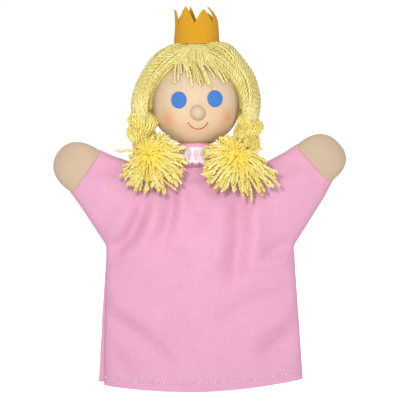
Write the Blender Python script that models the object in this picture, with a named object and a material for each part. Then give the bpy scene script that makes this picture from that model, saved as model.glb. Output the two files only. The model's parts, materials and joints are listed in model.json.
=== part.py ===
"""Princess glove puppet, standing upright and facing -Y, +Z up, hand opening at the origin.

Sizes below are millimetres; MM turns them into Blender's metres.
"""
import math

import bpy
from mathutils import Vector

MM = 0.001
GAP = 0.3

# Dress, seen from the front: x to the right, z up.
HEM_LEFT = Vector((-71.0, 5.3))
HEM_RIGHT = Vector((76.0, 10.0))
HEM_DIP = 7.5
ARMPIT = (69.2, 106.8)
ARMPIT_SHARE = 0.62
SHOULDER_SEAM = (45.0, 167.0)
NECK_HOLE_HALF_WIDTH = 22.0
NECK_HOLE_DEPTH = 3.0
DRESS_COLUMNS = 14
CLOTH = 1.0
PUFF = 2.0

# Arms: each leaves its shoulder pivot at its own angle above horizontal.
SHOULDER = (58.5, 144.0)
ARM_ANGLE = {"left": 34.0, "right": 42.5}
SLEEVE_REACH = 31.4
SLEEVE_LENGTH = 12.0
CUFF_HALF_WIDTH = 19.2
SLEEVE_LOWER_HALF_WIDTH = 23.6
SLEEVE_UPPER_HALF_WIDTH = 21.4
HAND_LENGTH = 23.4
HAND_ROUNDNESS = 2.3

# Head, neck tube and collar, all round the axis at HEAD_X.
HEAD_X = -3.0
HEAD_Z = 213.2
HEAD_RADIUS = 32.1
COVER = 1.2
TUBE_RADIUS = 11.0
TUBE_BORE = 9.5
TUBE_BOTTOM = 170.0
TUBE_TOP = 214.0
NECK_BOTTOM = 178.0
CORE_BORE = TUBE_RADIUS + GAP

# Hair, crown and face.
HAIR_SIZE = Vector((47.0, 41.0, 42.4))
HAIR_INNER = HEAD_RADIUS + GAP
CROWN_RADIUS = 16.6
CROWN_FELT = 1.5
CROWN_BASE = 253.4
CROWN_VALLEY = 270.8
CROWN_TIP = 280.8
CROWN_POINTS = 7
CROWN_TURN = -32.5
EYE_RADIUS = 5.9
EYES = {"left": (-14.9, 211.0), "right": (10.5, 212.0)}
NOSE_RADIUS = 5.5
NOSE = (-1.7, 202.6)
MOUTH_CENTRE = (-1.5, 198.4)
MOUTH_RADIUS = 7.5
MOUTH_SPAN = 68.0

# Braids: centre and half-width of each lobe's two ends, then the tassel's centre and radius.
BRAIDS = {
    "left": {
        "root": Vector((-44.5, -6.0, 202.8)),
        "knee": Vector((-43.2, -9.0, 188.2)),
        "end": Vector((-40.0, -9.5, 176.6)),
        "width": (10.0, 9.0),
        "tassel": Vector((-35.0, -17.6, 169.7)),
        "radius": 21.5,
    },
    "right": {
        "root": Vector((37.5, -6.0, 200.8)),
        "knee": Vector((36.4, -9.0, 186.0)),
        "end": Vector((33.5, -9.5, 175.0)),
        "width": (9.2, 7.0),
        "tassel": Vector((28.5, -17.6, 168.9)),
        "radius": 22.5,
    },
}
TASSEL_THICKNESS = 12.0
SIDES = {"left": -1.0, "right": 1.0}

COLOURS = {
    "pink_cotton": ((0.90, 0.45, 0.66), 0.85),
    "beige_felt": ((0.70, 0.54, 0.36), 0.95),
    "stockinette": ((0.84, 0.62, 0.42), 0.85),
    "pressed_cotton": ((0.85, 0.82, 0.75), 0.95),
    "cardboard": ((0.45, 0.33, 0.20), 0.90),
    "white_thread": ((0.88, 0.86, 0.86), 0.80),
    "white_lace": ((0.92, 0.85, 0.88), 0.85),
    "pink_ribbon": ((0.90, 0.40, 0.60), 0.60),
    "blue_felt": ((0.07, 0.24, 0.70), 0.95),
    "beech_wood": ((0.66, 0.50, 0.33), 0.55),
    "red_thread": ((0.70, 0.05, 0.06), 0.70),
    "yellow_yarn": ((0.85, 0.70, 0.20), 0.90),
    "amber_felt": ((0.76, 0.36, 0.03), 0.95),
}


def clear_scene():
    for item in list(bpy.data.objects):
        bpy.data.objects.remove(item, do_unlink=True)


def material(name):
    found = bpy.data.materials.get(name)
    if found:
        return found
    colour, roughness = COLOURS[name]
    made = bpy.data.materials.new(name)
    made.use_nodes = True
    shader = made.node_tree.nodes["Principled BSDF"]
    shader.inputs["Base Color"].default_value = (*colour, 1.0)
    shader.inputs["Roughness"].default_value = roughness
    shader.inputs["Metallic"].default_value = 0.0
    return made


def add_solid(name, points, faces, look, pivot=Vector((0, 0, 0))):
    """Makes one closed solid from points in millimetres, with its origin at pivot."""
    mesh = bpy.data.meshes.new(name)
    mesh.from_pydata([(Vector(p) - pivot) * MM for p in points], [], faces)
    if signed_volume(mesh) < 0:
        mesh.flip_normals()
    mesh.materials.append(material(look))
    mesh.shade_smooth()
    mesh.set_sharp_from_angle(angle=math.radians(40))
    made = bpy.data.objects.new(name, mesh)
    made.location = pivot * MM
    bpy.context.collection.objects.link(made)
    return made


def signed_volume(mesh):
    total = 0.0
    for polygon in mesh.polygons:
        corners = [mesh.vertices[i].co for i in polygon.vertices]
        for i in range(1, len(corners) - 1):
            total += corners[0].dot(corners[i].cross(corners[i + 1]))
    return total


def grid_shell(name, outer, inner, look, pivot=Vector((0, 0, 0))):
    """Closes two matching grids of points (lists of rows) into one thin solid."""
    rows, columns = len(outer), len(outer[0])
    points = [p for row in outer for p in row] + [p for row in inner for p in row]
    shift = rows * columns

    def at(row, column):
        return row * columns + column

    faces = []
    for r in range(rows - 1):
        for c in range(columns - 1):
            quad = [at(r, c), at(r, c + 1), at(r + 1, c + 1), at(r + 1, c)]
            faces.append(quad)
            faces.append([i + shift for i in reversed(quad)])
    rim = [at(0, c) for c in range(columns)]
    rim += [at(r, columns - 1) for r in range(1, rows)]
    rim += [at(rows - 1, c) for c in range(columns - 2, -1, -1)]
    rim += [at(r, 0) for r in range(rows - 2, 0, -1)]
    for a, b in zip(rim, rim[1:] + rim[:1]):
        faces.append([b, a, a + shift, b + shift])
    return add_solid(name, points, faces, look, pivot)


def ring_solid(name, rings, look, pivot, closed=True):
    """Joins rings of equal length; closed joins the last ring to the first, else both ends are capped."""
    count = len(rings[0])
    points = [p for ring in rings for p in ring]
    faces = []
    for r in range(len(rings) if closed else len(rings) - 1):
        low = r * count
        high = (r + 1) % len(rings) * count
        for c in range(count):
            d = (c + 1) % count
            faces.append([low + c, low + d, high + d, high + c])
    if not closed:
        faces.append(list(range(count))[::-1])
        faces.append([len(points) - count + c for c in range(count)])
    return add_solid(name, points, faces, look, pivot)


def round_ring(half_x, half_y, z, segments, centre=(HEAD_X, 0.0)):
    turns = [2 * math.pi * i / segments for i in range(segments)]
    return [(centre[0] + half_x * math.cos(a), centre[1] + half_y * math.sin(a), z) for a in turns]


def neck_turning(name, profile, look, segments=28):
    """A hollow turned piece round the neck axis; profile lists (radius, z) in a closed loop."""
    rings = [round_ring(radius, radius, z, segments) for radius, z in profile]
    return ring_solid(name, rings, look, Vector((HEAD_X, 0, TUBE_BOTTOM)))


def capped_turning(name, profile, look, segments=28):
    """A turned piece whose profile starts and ends on the neck axis."""
    first, last = profile[0], profile[-1]
    points = [(HEAD_X, 0, first[1])]
    for radius, z in profile[1:-1]:
        points += round_ring(radius, radius, z, segments)
    points.append((HEAD_X, 0, last[1]))
    faces = []
    for c in range(segments):
        d = (c + 1) % segments
        faces.append([0, 1 + d, 1 + c])
        for r in range(len(profile) - 3):
            low = 1 + r * segments
            high = low + segments
            faces.append([low + c, low + d, high + d, high + c])
        end = 1 + (len(profile) - 3) * segments
        faces.append([end + c, end + d, len(points) - 1])
    return add_solid(name, points, faces, look, Vector((HEAD_X, 0, TUBE_BOTTOM)))


# ---------------------------------------------------------------- dress and arms

def arm_point(side, along, across):
    """A point of the arm: along its axis from the shoulder pivot, and across it, upper edge positive."""
    sign = SIDES[side]
    angle = math.radians(ARM_ANGLE[side])
    x = sign * SHOULDER[0] + sign * (along * math.cos(angle) - across * math.sin(angle))
    z = SHOULDER[1] + along * math.sin(angle) + across * math.cos(angle)
    return Vector((x, z))


def hand_half_width(along):
    share = min(1.0, max(0.0, (along - SLEEVE_REACH) / HAND_LENGTH))
    return CUFF_HALF_WIDTH * (1 - share ** HAND_ROUNDNESS) ** (1 / HAND_ROUNDNESS)


def arm_outline(side):
    """The closed seam of one arm, from the armpit round the hand to the shoulder seam."""
    sign = SIDES[side]
    inner = SLEEVE_REACH - SLEEVE_LENGTH
    points = [Vector((sign * ARMPIT[0], ARMPIT[1])), arm_point(side, inner, -SLEEVE_LOWER_HALF_WIDTH)]
    steps = [SLEEVE_REACH + HAND_LENGTH * math.sin(math.pi / 2 * i / 8) for i in range(9)]
    points += [arm_point(side, a, -hand_half_width(a)) for a in steps]
    points += [arm_point(side, a, hand_half_width(a)) for a in reversed(steps[:-1])]
    points += [arm_point(side, inner, SLEEVE_UPPER_HALF_WIDTH)]
    points += [Vector((sign * SHOULDER_SEAM[0], SHOULDER_SEAM[1]))]
    return points


def seam_outline():
    """Every closed seam of the puppet, run far past the open hem and the open neck."""
    neck = SHOULDER_SEAM[1] - NECK_HOLE_DEPTH
    past_hem = 60.0
    left_neck = Vector((HEAD_X - NECK_HOLE_HALF_WIDTH, neck))
    right_neck = Vector((HEAD_X + NECK_HOLE_HALF_WIDTH, neck))
    chimney = Vector((0, past_hem))
    points = [HEM_LEFT - chimney, HEM_LEFT] + arm_outline("left")
    points += [left_neck, left_neck + chimney, right_neck + chimney, right_neck]
    points += arm_outline("right")[::-1] + [HEM_RIGHT, HEM_RIGHT - chimney]
    return points


def distance_to_segment(point, start, end):
    run = end - start
    share = max(0.0, min(1.0, (point - start).dot(run) / run.length_squared))
    return (point - start - run * share).length


def half_depth(point, outline):
    """Half the hollow's depth: it opens up as the square root of the distance from the nearest seam."""
    pairs = zip(outline, outline[1:])
    return PUFF * math.sqrt(min(distance_to_segment(point, a, b) for a, b in pairs))


def cloth_panels(name, rows, look, pivot, outline):
    """Front and back walls over the same grid of (x, z) points."""
    for label, sign in (("front", -1.0), ("back", 1.0)):
        outer, inner = [], []
        for row in rows:
            depths = [half_depth(p, outline) + GAP / 2 for p in row]
            inner.append([(p.x, sign * d, p.y) for p, d in zip(row, depths)])
            outer.append([(p.x, sign * (d + CLOTH), p.y) for p, d in zip(row, depths)])
        grid_shell(f"{name}_{label}", outer, inner, look, pivot)


def smooth_step(value):
    value = max(0.0, min(1.0, value))
    return value * value * (3 - 2 * value)


def torso_edge(side, share):
    """The side seam up to the armpit, then the armhole up to the shoulder seam."""
    sign = SIDES[side]
    hem = HEM_LEFT if sign < 0 else HEM_RIGHT
    armpit = Vector((sign * ARMPIT[0], ARMPIT[1]))
    top = Vector((sign * (SHOULDER_SEAM[0] - GAP), SHOULDER_SEAM[1]))
    if share < ARMPIT_SHARE:
        return hem.lerp(armpit, share / ARMPIT_SHARE)
    return armpit.lerp(top, (share - ARMPIT_SHARE) / (1 - ARMPIT_SHARE))


def make_dress(outline):
    rows = []
    shares = [i / 6 * ARMPIT_SHARE for i in range(7)]
    shares += [ARMPIT_SHARE + i / 5 * (1 - ARMPIT_SHARE) for i in range(1, 6)]
    columns = DRESS_COLUMNS
    for share in shares:
        left, right = torso_edge("left", share), torso_edge("right", share)
        row = []
        for c in range(columns + 1):
            across = c / columns
            point = left.lerp(right, across)
            bow = 4 * across * (1 - across)
            point.y -= HEM_DIP * bow * (1 - share) ** 3
            reach = abs(point.x - HEAD_X) / NECK_HOLE_HALF_WIDTH
            point.y -= NECK_HOLE_DEPTH * smooth_step(2 - reach) * share ** 8
            row.append(point)
        rows.append(row)
    cloth_panels("dress", rows, "pink_cotton", Vector((0, 0, 0)), outline)


def blend_rows(low_edge, high_edge, count):
    return [[a.lerp(b, r / count) for a, b in zip(low_edge, high_edge)] for r in range(count + 1)]


def make_arm(side, outline):
    sign = SIDES[side]
    pivot = Vector((sign * SHOULDER[0], 0, SHOULDER[1]))
    across = 6
    shares = [i / across for i in range(across + 1)]
    inner = SLEEVE_REACH - SLEEVE_LENGTH
    armpit = Vector((sign * (ARMPIT[0] + GAP), ARMPIT[1] + GAP))
    top = Vector((sign * SHOULDER_SEAM[0], SHOULDER_SEAM[1]))
    armhole = [armpit.lerp(top, s) for s in shares]
    low, high = -SLEEVE_LOWER_HALF_WIDTH, SLEEVE_UPPER_HALF_WIDTH
    fold = [arm_point(side, inner - GAP, low + (high - low) * s) for s in shares]
    start = [arm_point(side, inner, low + (high - low) * s) for s in shares]
    cuff = [arm_point(side, SLEEVE_REACH - GAP, CUFF_HALF_WIDTH * (2 * s - 1)) for s in shares]
    cloth_panels(f"{side}_shoulder", blend_rows(armhole, fold, 4), "pink_cotton", pivot, outline)
    cloth_panels(f"{side}_sleeve", blend_rows(start, cuff, 2), "pink_cotton", pivot, outline)
    hand_rows = []
    tip_share = 0.985
    for step in range(7):
        along = SLEEVE_REACH + HAND_LENGTH * tip_share * math.sin(math.pi / 2 * step / 6)
        width = hand_half_width(along)
        hand_rows.append([arm_point(side, along, width * (2 * s - 1)) for s in shares])
    cloth_panels(f"{side}_hand", hand_rows, "beige_felt", pivot, outline)


def hem_stitch(label, sign, outline):
    """One line of sewing thread along the hem, laid just outside the cloth."""
    thread_radius = 0.35
    height = 6.0
    count = 2 * DRESS_COLUMNS - 2
    curve = bpy.data.curves.new(f"{label}_hem_stitch", "CURVE")
    curve.dimensions = "3D"
    curve.bevel_depth = thread_radius * MM
    curve.bevel_resolution = 1
    curve.use_fill_caps = True
    curve.materials.append(material("white_thread"))
    spline = curve.splines.new("POLY")
    spline.points.add(count)
    for i in range(count + 1):
        across = (i + 1) / (count + 2)
        point = HEM_LEFT.lerp(HEM_RIGHT, across)
        point.y += height - HEM_DIP * 4 * across * (1 - across)
        depth = half_depth(point, outline) + CLOTH + 2 * thread_radius + GAP
        spline.points[i].co = (point.x * MM, sign * depth * MM, point.y * MM, 1.0)
    bpy.context.collection.objects.link(bpy.data.objects.new(f"{label}_hem_stitch", curve))


# ---------------------------------------------------------------- neck and head

def make_neck():
    wall = 1.0
    gathers = TUBE_RADIUS + GAP
    torso_top = SHOULDER_SEAM[1] - NECK_HOLE_DEPTH + 2 * GAP
    mouth_x, mouth_y = 20.0, 10.5
    rings = [
        round_ring(mouth_x, mouth_y, torso_top, 28),
        round_ring(gathers + wall + 1.9, gathers + wall, 167.4, 28),
        round_ring(gathers + wall, gathers + wall, 170.4, 28),
        round_ring(gathers + wall, gathers + wall, NECK_BOTTOM - GAP, 28),
        round_ring(gathers, gathers, NECK_BOTTOM - GAP, 28),
        round_ring(gathers, gathers, 169.9, 28),
        round_ring(gathers + 1.6, gathers, 166.9, 28),
        round_ring(mouth_x - wall, mouth_y - wall, torso_top, 28),
    ]
    ring_solid("neck_gathers", rings, "pink_cotton", Vector((HEAD_X, 0, TUBE_BOTTOM)))
    neck_turning("neck_tube", [(TUBE_RADIUS, TUBE_BOTTOM), (TUBE_RADIUS, TUBE_TOP),
                               (TUBE_BORE, TUBE_TOP), (TUBE_BORE, TUBE_BOTTOM)], "cardboard")
    binding = gathers + wall + GAP
    neck_turning("neck_binding", [(binding, 173.0), (binding + 0.9, 173.0),
                                  (binding + 0.9, 175.4), (binding, 175.4)], "white_thread")
    neck_turning("collar_band", [(binding, 177.2), (binding + 1.0, 177.2),
                                 (binding + 1.0, 180.4), (binding, 180.4)], "pink_ribbon")
    lace = binding + 1.0 + GAP
    lace_wall = 0.8
    lace_foot = 15.6
    neck_turning("lace_collar", [(lace, 179.6), (lace_foot, 168.6), (lace_foot + lace_wall, 168.8),
                                 (lace + lace_wall, 179.8)], "white_lace")


def arc(radius, from_degrees, to_degrees, count):
    """Profile points (radius, z) on a circle round the head's centre, degrees above the horizon."""
    angles = [from_degrees + (to_degrees - from_degrees) * i / count for i in range(count + 1)]
    return [(radius * math.cos(math.radians(a)), HEAD_Z + radius * math.sin(math.radians(a)))
            for a in angles]


def foot_angle(radius, opening):
    return -math.degrees(math.acos(opening / radius))


def make_head():
    inner = HEAD_RADIUS - COVER
    core = inner - GAP
    neck_out = CORE_BORE + COVER - 0.2
    core_arc = arc(core, 90, foot_angle(core, CORE_BORE + 0.5), 10)
    capped_turning("head_core", core_arc + [(CORE_BORE, core_arc[-1][1]), (CORE_BORE, TUBE_TOP + GAP),
                                            (0.0, TUBE_TOP + GAP)], "pressed_cotton", 24)
    outside = arc(HEAD_RADIUS, 90, foot_angle(HEAD_RADIUS, neck_out), 12)
    inside = arc(inner, foot_angle(inner, CORE_BORE), 90, 10)
    neck = [(neck_out, NECK_BOTTOM), (CORE_BORE, NECK_BOTTOM)]
    capped_turning("head_cover", outside + neck + inside, "stockinette", 28)


def head_direction(x, z):
    """The unit direction from the head's centre to its surface at (x, z), on the face side."""
    right, up = (x - HEAD_X) / HEAD_RADIUS, (z - HEAD_Z) / HEAD_RADIUS
    return Vector((right, -math.sqrt(1 - right * right - up * up), up))


def face_disc(name, x, z, radius, look):
    """A felt disc bent onto the ball of the face."""
    felt = 1.0
    centre = Vector((HEAD_X, 0, HEAD_Z))
    out = head_direction(x, z)
    right = Vector((0, 0, 1)).cross(out).normalized()
    up = out.cross(right)
    segments, circles = 20, 3
    layers = []
    for height in (HEAD_RADIUS + GAP, HEAD_RADIUS + GAP + felt):
        layer = [centre + out * height]
        for k in range(1, circles + 1):
            for i in range(segments):
                turn = 2 * math.pi * i / segments
                offset = (right * math.cos(turn) + up * math.sin(turn)) * radius * k / circles
                layer.append(centre + (out * HEAD_RADIUS + offset).normalized() * height)
        layers.append(layer)
    points = layers[0] + layers[1]
    shift = len(layers[0])
    faces = []
    for c in range(segments):
        d = (c + 1) % segments
        faces.append([0, 1 + d, 1 + c])
        faces.append([shift, shift + 1 + c, shift + 1 + d])
        for k in range(circles - 1):
            low, high = 1 + k * segments, 1 + (k + 1) * segments
            faces.append([low + c, low + d, high + d, high + c])
            faces.append([shift + low + c, shift + high + c, shift + high + d, shift + low + d])
        edge = 1 + (circles - 1) * segments
        faces.append([edge + c, edge + d, shift + edge + d, shift + edge + c])
    return add_solid(name, points, faces, look, centre)


def make_nose():
    """A round bead sewn on the face, its back hollowed to the curve of the ball."""
    centre = Vector((HEAD_X, 0, HEAD_Z))
    out = head_direction(*NOSE)
    seat = HEAD_RADIUS + GAP
    middle = centre + out * (seat + NOSE_RADIUS * 0.35)
    right = Vector((0, 0, 1)).cross(out).normalized()
    up = out.cross(right)
    segments = 18
    rings = []
    for degrees in (78, 60, 40, 20, 0, -12):
        tilt = math.radians(degrees)
        radius, forward = NOSE_RADIUS * math.cos(tilt), NOSE_RADIUS * math.sin(tilt)
        rings.append([middle + out * forward + (right * math.cos(t) + up * math.sin(t)) * radius
                      for t in [2 * math.pi * i / segments for i in range(segments)]])
    ring_solid("nose", rings[::-1], "beech_wood", centre, closed=False)


def make_mouth():
    """One embroidered thread that runs in a shallow smile over the face."""
    thread_radius = 0.4
    count = 12
    centre = Vector((HEAD_X, 0, HEAD_Z))
    curve = bpy.data.curves.new("mouth", "CURVE")
    curve.dimensions = "3D"
    curve.bevel_depth = thread_radius * MM
    curve.bevel_resolution = 2
    curve.use_fill_caps = True
    curve.materials.append(material("red_thread"))
    spline = curve.splines.new("POLY")
    spline.points.add(count)
    for i in range(count + 1):
        turn = math.radians(-MOUTH_SPAN + 2 * MOUTH_SPAN * i / count)
        x = MOUTH_CENTRE[0] + MOUTH_RADIUS * math.sin(turn)
        z = MOUTH_CENTRE[1] - MOUTH_RADIUS * math.cos(turn)
        point = centre + head_direction(x, z) * (HEAD_RADIUS + GAP + thread_radius)
        spline.points[i].co = (*(point * MM), 1.0)
    bpy.context.collection.objects.link(bpy.data.objects.new("mouth", curve))


# ---------------------------------------------------------------- hair and crown

def hair_direction(azimuth, elevation):
    """Azimuth 0 is the face, +90 the right side; elevation is above the horizon; both in degrees."""
    turn, rise = math.radians(azimuth), math.radians(elevation)
    return Vector((math.sin(turn) * math.cos(rise), -math.cos(turn) * math.cos(rise), math.sin(rise)))


def hair_radius(direction):
    scaled = Vector((direction.x / HAIR_SIZE.x, direction.y / HAIR_SIZE.y, direction.z / HAIR_SIZE.z))
    return 1 / scaled.length


def hair_edge(elevation):
    """How far round from the face the hair's front edge lies at each height."""
    return 5 + 78 * smooth_step((88 - elevation) / 125) ** 0.75


def make_hair(side):
    sign = SIDES[side]
    centre = Vector((HEAD_X, 0, HEAD_Z))
    parting = 0.5
    outer, inner = [], []
    top, side_foot, back_foot = 84, -11, -24
    for r in range(11):
        out_row, in_row = [], []
        for c in range(11):
            share = c / 10
            foot = side_foot + (back_foot - side_foot) * smooth_step(share * 1.6 - 0.4)
            elevation = top + (foot - top) * r / 10
            front = hair_edge(elevation)
            back = 180 - math.degrees(parting / (HAIR_INNER * math.cos(math.radians(elevation))))
            direction = hair_direction(sign * (front + (back - front) * share), elevation)
            lock = min(1.0, 0.45 + 2.2 * share)
            thick = hair_radius(direction) - HAIR_INNER
            out_row.append(centre + direction * (HAIR_INNER + thick * lock))
            in_row.append(centre + direction * HAIR_INNER)
        outer.append(out_row)
        inner.append(in_row)
    grid_shell(f"{side}_hair", outer, inner, "yellow_yarn", centre)


def make_fringe():
    centre = Vector((HEAD_X, 0, HEAD_Z))
    outer, inner = [], []
    for r in range(9):
        elevation = 76 - 56 * r / 8
        reach = min(hair_edge(elevation) - 2.5, 36.0)
        row_out, row_in = [], []
        for c in range(11):
            direction = hair_direction(-reach + 2 * reach * c / 10, elevation)
            row_in.append(centre + direction * HAIR_INNER)
            row_out.append(centre + direction * (HAIR_INNER + 2.2))
        outer.append(row_out)
        inner.append(row_in)
    grid_shell("fringe", outer, inner, "yellow_yarn", centre)


def make_parting():
    """The sewn line that holds the hair down the back of the head."""
    thread_radius = 0.7
    count = 14
    centre = Vector((HEAD_X, 0, HEAD_Z))
    curve = bpy.data.curves.new("hair_parting", "CURVE")
    curve.dimensions = "3D"
    curve.bevel_depth = thread_radius * MM
    curve.bevel_resolution = 1
    curve.use_fill_caps = True
    curve.materials.append(material("yellow_yarn"))
    spline = curve.splines.new("POLY")
    spline.points.add(count)
    for i in range(count + 1):
        direction = hair_direction(180, 58 - 70 * i / count)
        point = centre + direction * (hair_radius(direction) + GAP + thread_radius)
        spline.points[i].co = (*(point * MM), 1.0)
    bpy.context.collection.objects.link(bpy.data.objects.new("hair_parting", curve))


def make_crown():
    """A ring of felt whose top edge is cut into points."""
    per_point = 6
    off_centre = 0.6
    count = CROWN_POINTS * per_point
    rings = [[], [], [], []]
    for i in range(count):
        turn = math.radians(CROWN_TURN + 360.0 * i / count)
        tip_share = abs(2 * (i % per_point) / per_point - 1)
        top = CROWN_VALLEY + (CROWN_TIP - CROWN_VALLEY) * tip_share
        ways = ((CROWN_RADIUS, CROWN_BASE), (CROWN_RADIUS, top),
                (CROWN_RADIUS - CROWN_FELT, top), (CROWN_RADIUS - CROWN_FELT, CROWN_BASE))
        for ring, (radius, z) in zip(rings, ways):
            ring.append((HEAD_X + off_centre + radius * math.sin(turn), -radius * math.cos(turn), z))
    ring_solid("crown", rings, "amber_felt", Vector((HEAD_X, 0, HEAD_Z)))


# ---------------------------------------------------------------- braids

def barrel(name, start, end, radii, flatness, pivot, segments=16):
    """A bulging length of yarn with level ends; radii lists the half-width along it."""
    rings = []
    for i, radius in enumerate(radii):
        middle = start.lerp(end, i / (len(radii) - 1))
        turns = [2 * math.pi * k / segments for k in range(segments)]
        rings.append([middle + Vector((math.cos(t), flatness * math.sin(t), 0)) * radius for t in turns])
    ring_solid(name, rings, "yellow_yarn", pivot, closed=False)


def make_braid(side):
    braid = BRAIDS[side]
    root, knee, end = braid["root"], braid["knee"], braid["end"]
    upper, lower = braid["width"]
    gap = Vector((0, 0, GAP))
    fold_room = 2 * gap
    upper_radii = [upper * bulge for bulge in (0.62, 0.88, 1.0, 0.86, 0.45)]
    lower_radii = [lower * bulge for bulge in (0.45, 0.86, 1.0, 0.9, 0.6)]
    barrel(f"{side}_braid_upper", root, knee + fold_room, upper_radii, 0.85, root)
    barrel(f"{side}_braid_lower", knee - fold_room, end + gap, lower_radii, 0.68, knee)
    tie_end = end + Vector((0.35 * (braid["tassel"].x - end.x), 0.0, -3.0))
    barrel(f"{side}_braid_tie", end - gap, tie_end, [3.6, 3.8, 3.6], 0.85, end, 12)
    make_tassel(side, braid["tassel"], braid["radius"])


def make_tassel(side, centre, radius):
    """A flat-backed tuft of yarn ends, domed towards the front."""
    segments = 22
    rings = []
    for share, depth in ((0.25, 0.0), (0.92, 0.0), (1.0, 0.22), (0.93, 0.5), (0.7, 0.8), (0.35, 1.0)):
        y = centre.y - depth * TASSEL_THICKNESS
        rings.append([(centre.x + share * radius * math.cos(t), y, centre.z + share * radius * math.sin(t))
                      for t in [2 * math.pi * i / segments for i in range(segments)]])
    ring_solid(f"{side}_tassel", rings, "yellow_yarn", BRAIDS[side]["end"], closed=False)


def main():
    clear_scene()
    outline = seam_outline()
    make_dress(outline)
    for side in SIDES:
        make_arm(side, outline)
    for label, sign in (("front", -1.0), ("back", 1.0)):
        hem_stitch(label, sign, outline)
    make_neck()
    make_head()
    for side, (x, z) in EYES.items():
        face_disc(f"{side}_eye", x, z, EYE_RADIUS, "blue_felt")
    make_nose()
    make_mouth()
    for side in SIDES:
        make_hair(side)
        make_braid(side)
    make_fringe()
    make_parting()
    make_crown()


main()
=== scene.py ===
"""Looks of a princess glove puppet: cotton, felt, knit, yarn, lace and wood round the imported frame."""
import json
import math
import random

import bmesh
import bpy
import numpy as np
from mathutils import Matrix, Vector


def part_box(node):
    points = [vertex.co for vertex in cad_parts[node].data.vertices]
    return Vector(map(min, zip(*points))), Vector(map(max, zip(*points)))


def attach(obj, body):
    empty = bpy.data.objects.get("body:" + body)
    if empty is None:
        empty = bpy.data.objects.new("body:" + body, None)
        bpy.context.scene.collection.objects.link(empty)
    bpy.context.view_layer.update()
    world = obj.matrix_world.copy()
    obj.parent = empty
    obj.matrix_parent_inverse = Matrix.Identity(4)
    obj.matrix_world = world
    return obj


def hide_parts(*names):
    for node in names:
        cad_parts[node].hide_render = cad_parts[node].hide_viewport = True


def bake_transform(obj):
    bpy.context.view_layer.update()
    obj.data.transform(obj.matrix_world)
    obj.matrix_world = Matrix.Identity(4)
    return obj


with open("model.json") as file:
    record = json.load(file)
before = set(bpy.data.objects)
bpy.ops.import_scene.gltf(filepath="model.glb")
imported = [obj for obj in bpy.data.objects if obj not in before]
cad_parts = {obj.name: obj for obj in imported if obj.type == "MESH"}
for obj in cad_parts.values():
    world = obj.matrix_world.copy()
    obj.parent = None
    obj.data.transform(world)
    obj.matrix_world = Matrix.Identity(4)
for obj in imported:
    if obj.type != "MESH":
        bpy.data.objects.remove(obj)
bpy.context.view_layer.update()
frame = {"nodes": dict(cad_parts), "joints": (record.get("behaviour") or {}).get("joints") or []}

MM = 0.001
SIDES = {"left": -1.0, "right": 1.0}


# ---------------------------------------------------------------- places read from the frame

def box_mm(node):
    low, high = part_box(node)
    return np.array(low) / MM, np.array(high) / MM


def joint(name):
    return next(j for j in frame["joints"] if j["name"] == name)


def joint_mm(name):
    return np.array(joint(name)["pos_m"]) / MM


cover_low, cover_high = box_mm("head_cover")
HEAD_RADIUS = (cover_high[0] - cover_low[0]) / 2
HEAD = np.array([(cover_high[0] + cover_low[0]) / 2, 0.0, cover_high[2] - HEAD_RADIUS])
NECK_BOTTOM = cover_low[2]
hair_low, hair_high = box_mm("left_hair")
HAIR_DEPTH = 41.0
HAIR_BULGE = 1.7
HAIR_SIZE = np.array([HEAD[0] - hair_low[0] + HAIR_BULGE, HAIR_DEPTH, hair_high[2] - HEAD[2]])

# Pattern of the dress, seen from the front (x, z). Every length in this script is in millimetres, apart
# from the frame's and Blender's own, which are in metres.
HEM_LEFT = np.array([-71.0, 5.3])
HEM_RIGHT = np.array([76.0, 10.0])
HEM_DIP = 5.5
ARMPIT = (69.2, 106.8)
SHOULDER_SEAM = (45.0, 167.0)
NECK_HOLE_HALF_WIDTH = 22.0
NECK_HOLE_DEPTH = 3.0
# The dress stands off its middle plane by PUFF times the root of the distance to the nearest seam.
PUFF = 2.0
WALL_MIDDLE = 0.65
COTTON = 0.5
FOLD_GAIN = 2.9

# Arms, measured along their own axis from the shoulder joint.
SLEEVE_REACH = {"left": 31.4, "right": 34.7}
SLEEVE_LENGTH = 12.0
CUFF_HALF_WIDTH = 19.2
SLEEVE_LOWER_HALF_WIDTH = 23.6
SLEEVE_UPPER_HALF_WIDTH = 21.4
HAND_LENGTH = {"left": 23.6, "right": 22.4}
HAND_SHIFT = {"left": 0.0, "right": -1.2}
HAND_ROUNDNESS = {"left": 2.3, "right": 2.5}

HEM_STITCH_HEIGHT = 6.0
BLUSH_RADIUS = 12.0
FLOOR_DEPTH = 0.06
SURROUND = 0.70
BACKDROP = 1.03
FLOOR_GLOW = 0.6

YARN = 1.05
YARN_PITCH = 6.6
TONE_SPREAD = 0.35


# ---------------------------------------------------------------- mesh helpers

def new_mesh(name, points, faces, look=None):
    """Adds one mesh object from points in millimetres."""
    mesh = bpy.data.meshes.new(name)
    metres = (np.asarray(points, float) * MM).tolist()
    mesh.from_pydata(metres, [], [list(map(int, f)) for f in faces])
    mesh.shade_smooth()
    made = bpy.data.objects.new(name, mesh)
    bpy.context.collection.objects.link(made)
    if look is not None:
        mesh.materials.append(look)
    return made


def face_outwards(made):
    work = bmesh.new()
    work.from_mesh(made.data)
    bmesh.ops.recalc_face_normals(work, faces=work.faces)
    work.to_mesh(made.data)
    work.free()


def grid_faces(rows, columns, start=0, wrap=False):
    faces = []
    span = columns if wrap else columns - 1
    for r in range(rows - 1):
        for c in range(span):
            d = (c + 1) % columns
            faces.append((start + r * columns + c, start + r * columns + d,
                          start + (r + 1) * columns + d, start + (r + 1) * columns + c))
    return faces


def set_uv(made, uvs):
    """One uv per vertex, as an array in vertex order."""
    layer = made.data.uv_layers.new(name="UVMap")
    index = np.empty(len(made.data.loops), np.int32)
    made.data.loops.foreach_get("vertex_index", index)
    layer.data.foreach_set("uv", np.asarray(uvs, np.float32)[index].ravel())


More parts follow.
